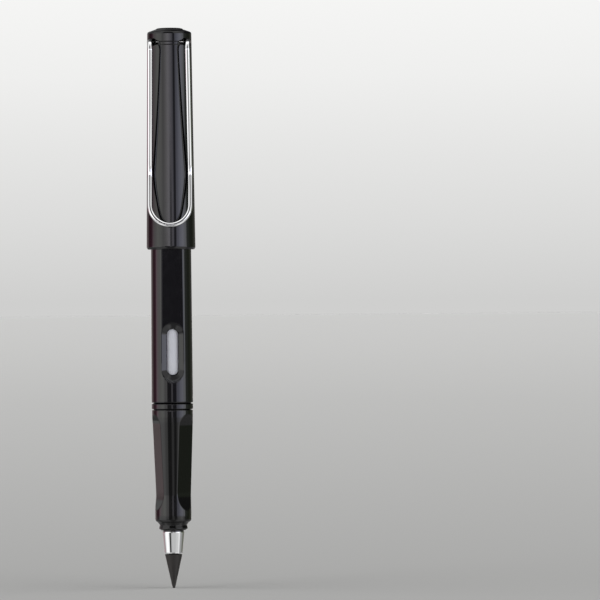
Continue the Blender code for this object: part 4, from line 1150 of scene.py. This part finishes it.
# Each band above the lowest, the elevations over which it takes over, and its tint
LIGHT_BANDS = [
    (LIGHT_DEEP, (-60.0, -56.0), None), (LIGHT_LOW, (-46.0, -40.0), None),
    (LIGHT_BELOW, (-20.0, -16.0), None), (LIGHT_LEGS, (-12.0, -11.4), None),
    (LIGHT_GRIP, (-8.6, -7.6), LIGHT_SIDE_TINT), (LIGHT_LEVEL, (-3.4, -2.6), LIGHT_TINT),
    (LIGHT_UPPER, (1.0, 1.6), LIGHT_TINT), (LIGHT_TOP, (2.4, 2.8), LIGHT_TINT),
    (LIGHT_HIGH, (4.8, 6.0), None), (LIGHT_OVERHEAD, (38.0, 44.0), None),
    (LIGHT_ZENITH, (56.0, 64.0), None),
]
# The light level that a ramp's white stands for
LIGHT_SCALE = 3.2


def linear(level):
    """A display level from 0 to 255 as linear light."""
    share = level / 255.0
    return share / 12.92 if share <= 0.04045 else ((share + 0.055) / 1.055) ** 2.4


def make_ramp(tree, value, stops):
    """A colour ramp over 0 to 1 from (place, (red, green, blue)) stops."""
    node = add_node(tree, "ShaderNodeValToRGB", {"Fac": value})
    ramp = node.color_ramp
    for place, _ in stops[1:-1]:
        ramp.elements.new(place)
    for element, (place, colour) in zip(ramp.elements, stops):
        element.position = place
        element.color = (*colour, 1.0)
    return node.outputs["Color"]


def turn_ramp(tree, around, colours):
    """A ramp round the pencil, from colours by degrees."""
    return make_ramp(tree, around, [((degrees + 180.0) / 360.0, colour) for degrees, colour in colours])


def level_ramp(tree, around, levels):
    """A ramp of plain light levels round the pencil."""
    return turn_ramp(tree, around, [(degrees, (level / LIGHT_SCALE,) * 3) for degrees, level in levels])


def rise_share(tree, sine, degrees):
    """0 below the first elevation and 1 above the second, from the sine of the elevation."""
    low, high = (math.sin(math.radians(d)) for d in degrees)
    return spread(tree, sine, 0.0, 1.0, low, high)


def make_floor():
    """A wide pale floor with painted shade: its grey depends on how far it is from the pencil, darkening
    towards its foot as the backdrop's light falls off.
    """
    bm = bmesh.new()
    bmesh.ops.create_circle(bm, cap_ends=True, radius=FLOOR_RADIUS, segments=SMALL_STEPS)
    material, tree, shader = new_material("pale_floor", (0.5, 0.5, 0.5))
    place = add_node(tree, "ShaderNodeTexCoord")
    length = add_node(tree, "ShaderNodeVectorMath", {0: place.outputs["Object"]}, operation="LENGTH")
    further = compute(tree, "ADD", length.outputs["Value"], CAMERA_DISTANCE)
    nearness = compute(tree, "DIVIDE", CAMERA_DISTANCE, further)
    stops = []
    for share, level in FLOOR_LEVELS:
        grey = linear(level) / FLOOR_LIGHT
        stops.append((share, (grey, grey, grey * FLOOR_BLUE)))
    # Painted shade: the floor's colour darkens towards the pencil's foot
    colour = make_ramp(tree, nearness, stops)
    set_inputs(tree, shader, {"Base Color": colour, "Roughness": 0.9, "Specular IOR Level": 0.0})
    floor = to_object(bm, "floor", material)
    floor.visible_glossy = False


def make_world():
    """The bands of light, and a plain backdrop in their place where the camera looks past the floor."""
    world = bpy.data.worlds.new("studio")
    bpy.context.scene.world = world
    world.use_nodes = True
    tree = world.node_tree
    tree.nodes.clear()
    place = add_node(tree, "ShaderNodeTexCoord")
    x, y, sine = add_node(tree, "ShaderNodeSeparateXYZ", {"Vector": place.outputs["Generated"]}).outputs
    azimuth = compute(tree, "ARCTAN2", x, compute(tree, "MULTIPLY", y, -1.0))
    around = spread(tree, azimuth, 0.0, 1.0, -math.pi, math.pi)
    lit = level_ramp(tree, around, LIGHT_UNDER)
    for levels, rise, tint in LIGHT_BANDS:
        band = level_ramp(tree, around, levels)
        if tint:
            band = blend(tree, 1.0, band, turn_ramp(tree, around, tint), "MULTIPLY")
        lit = blend(tree, rise_share(tree, sine, rise), lit, band)
    light = add_node(tree, "ShaderNodeBackground", {"Color": lit, "Strength": LIGHT_SCALE})
    height = spread(tree, sine, 0.0, 1.0, 0.0, FRAME_WIDTH / 2 / CAMERA_DISTANCE)
    greys = [(share, (linear(v), linear(v), linear(v - SKY_BLUE_DROP))) for share, v in SKY_LEVELS]
    sky = make_ramp(tree, height, greys)
    backdrop = add_node(tree, "ShaderNodeBackground", {"Color": sky})
    ray = add_node(tree, "ShaderNodeLightPath")
    choice = add_node(tree, "ShaderNodeMixShader", {
        0: ray.outputs["Is Camera Ray"], 1: light.outputs[0], 2: backdrop.outputs[0],
    })
    add_node(tree, "ShaderNodeOutputWorld", {"Surface": choice.outputs[0]})


def make_camera():
    """The photograph's view, with the pencil left of the middle and a slight roll."""
    data = bpy.data.cameras.new("camera")
    data.sensor_width = SENSOR_WIDTH
    data.lens = SENSOR_WIDTH * CAMERA_DISTANCE / FRAME_WIDTH
    data.clip_end = 2 * FLOOR_RADIUS
    camera = add_object("camera", data)
    camera.location = (CAMERA_RIGHT, -CAMERA_DISTANCE, CAMERA_HEIGHT)
    camera.rotation_euler = (math.pi / 2, CAMERA_ROLL, 0.0)
    bpy.context.scene.camera = camera


make_floor()
make_world()
make_camera()
bpy.context.scene.view_settings.view_transform = "Standard"
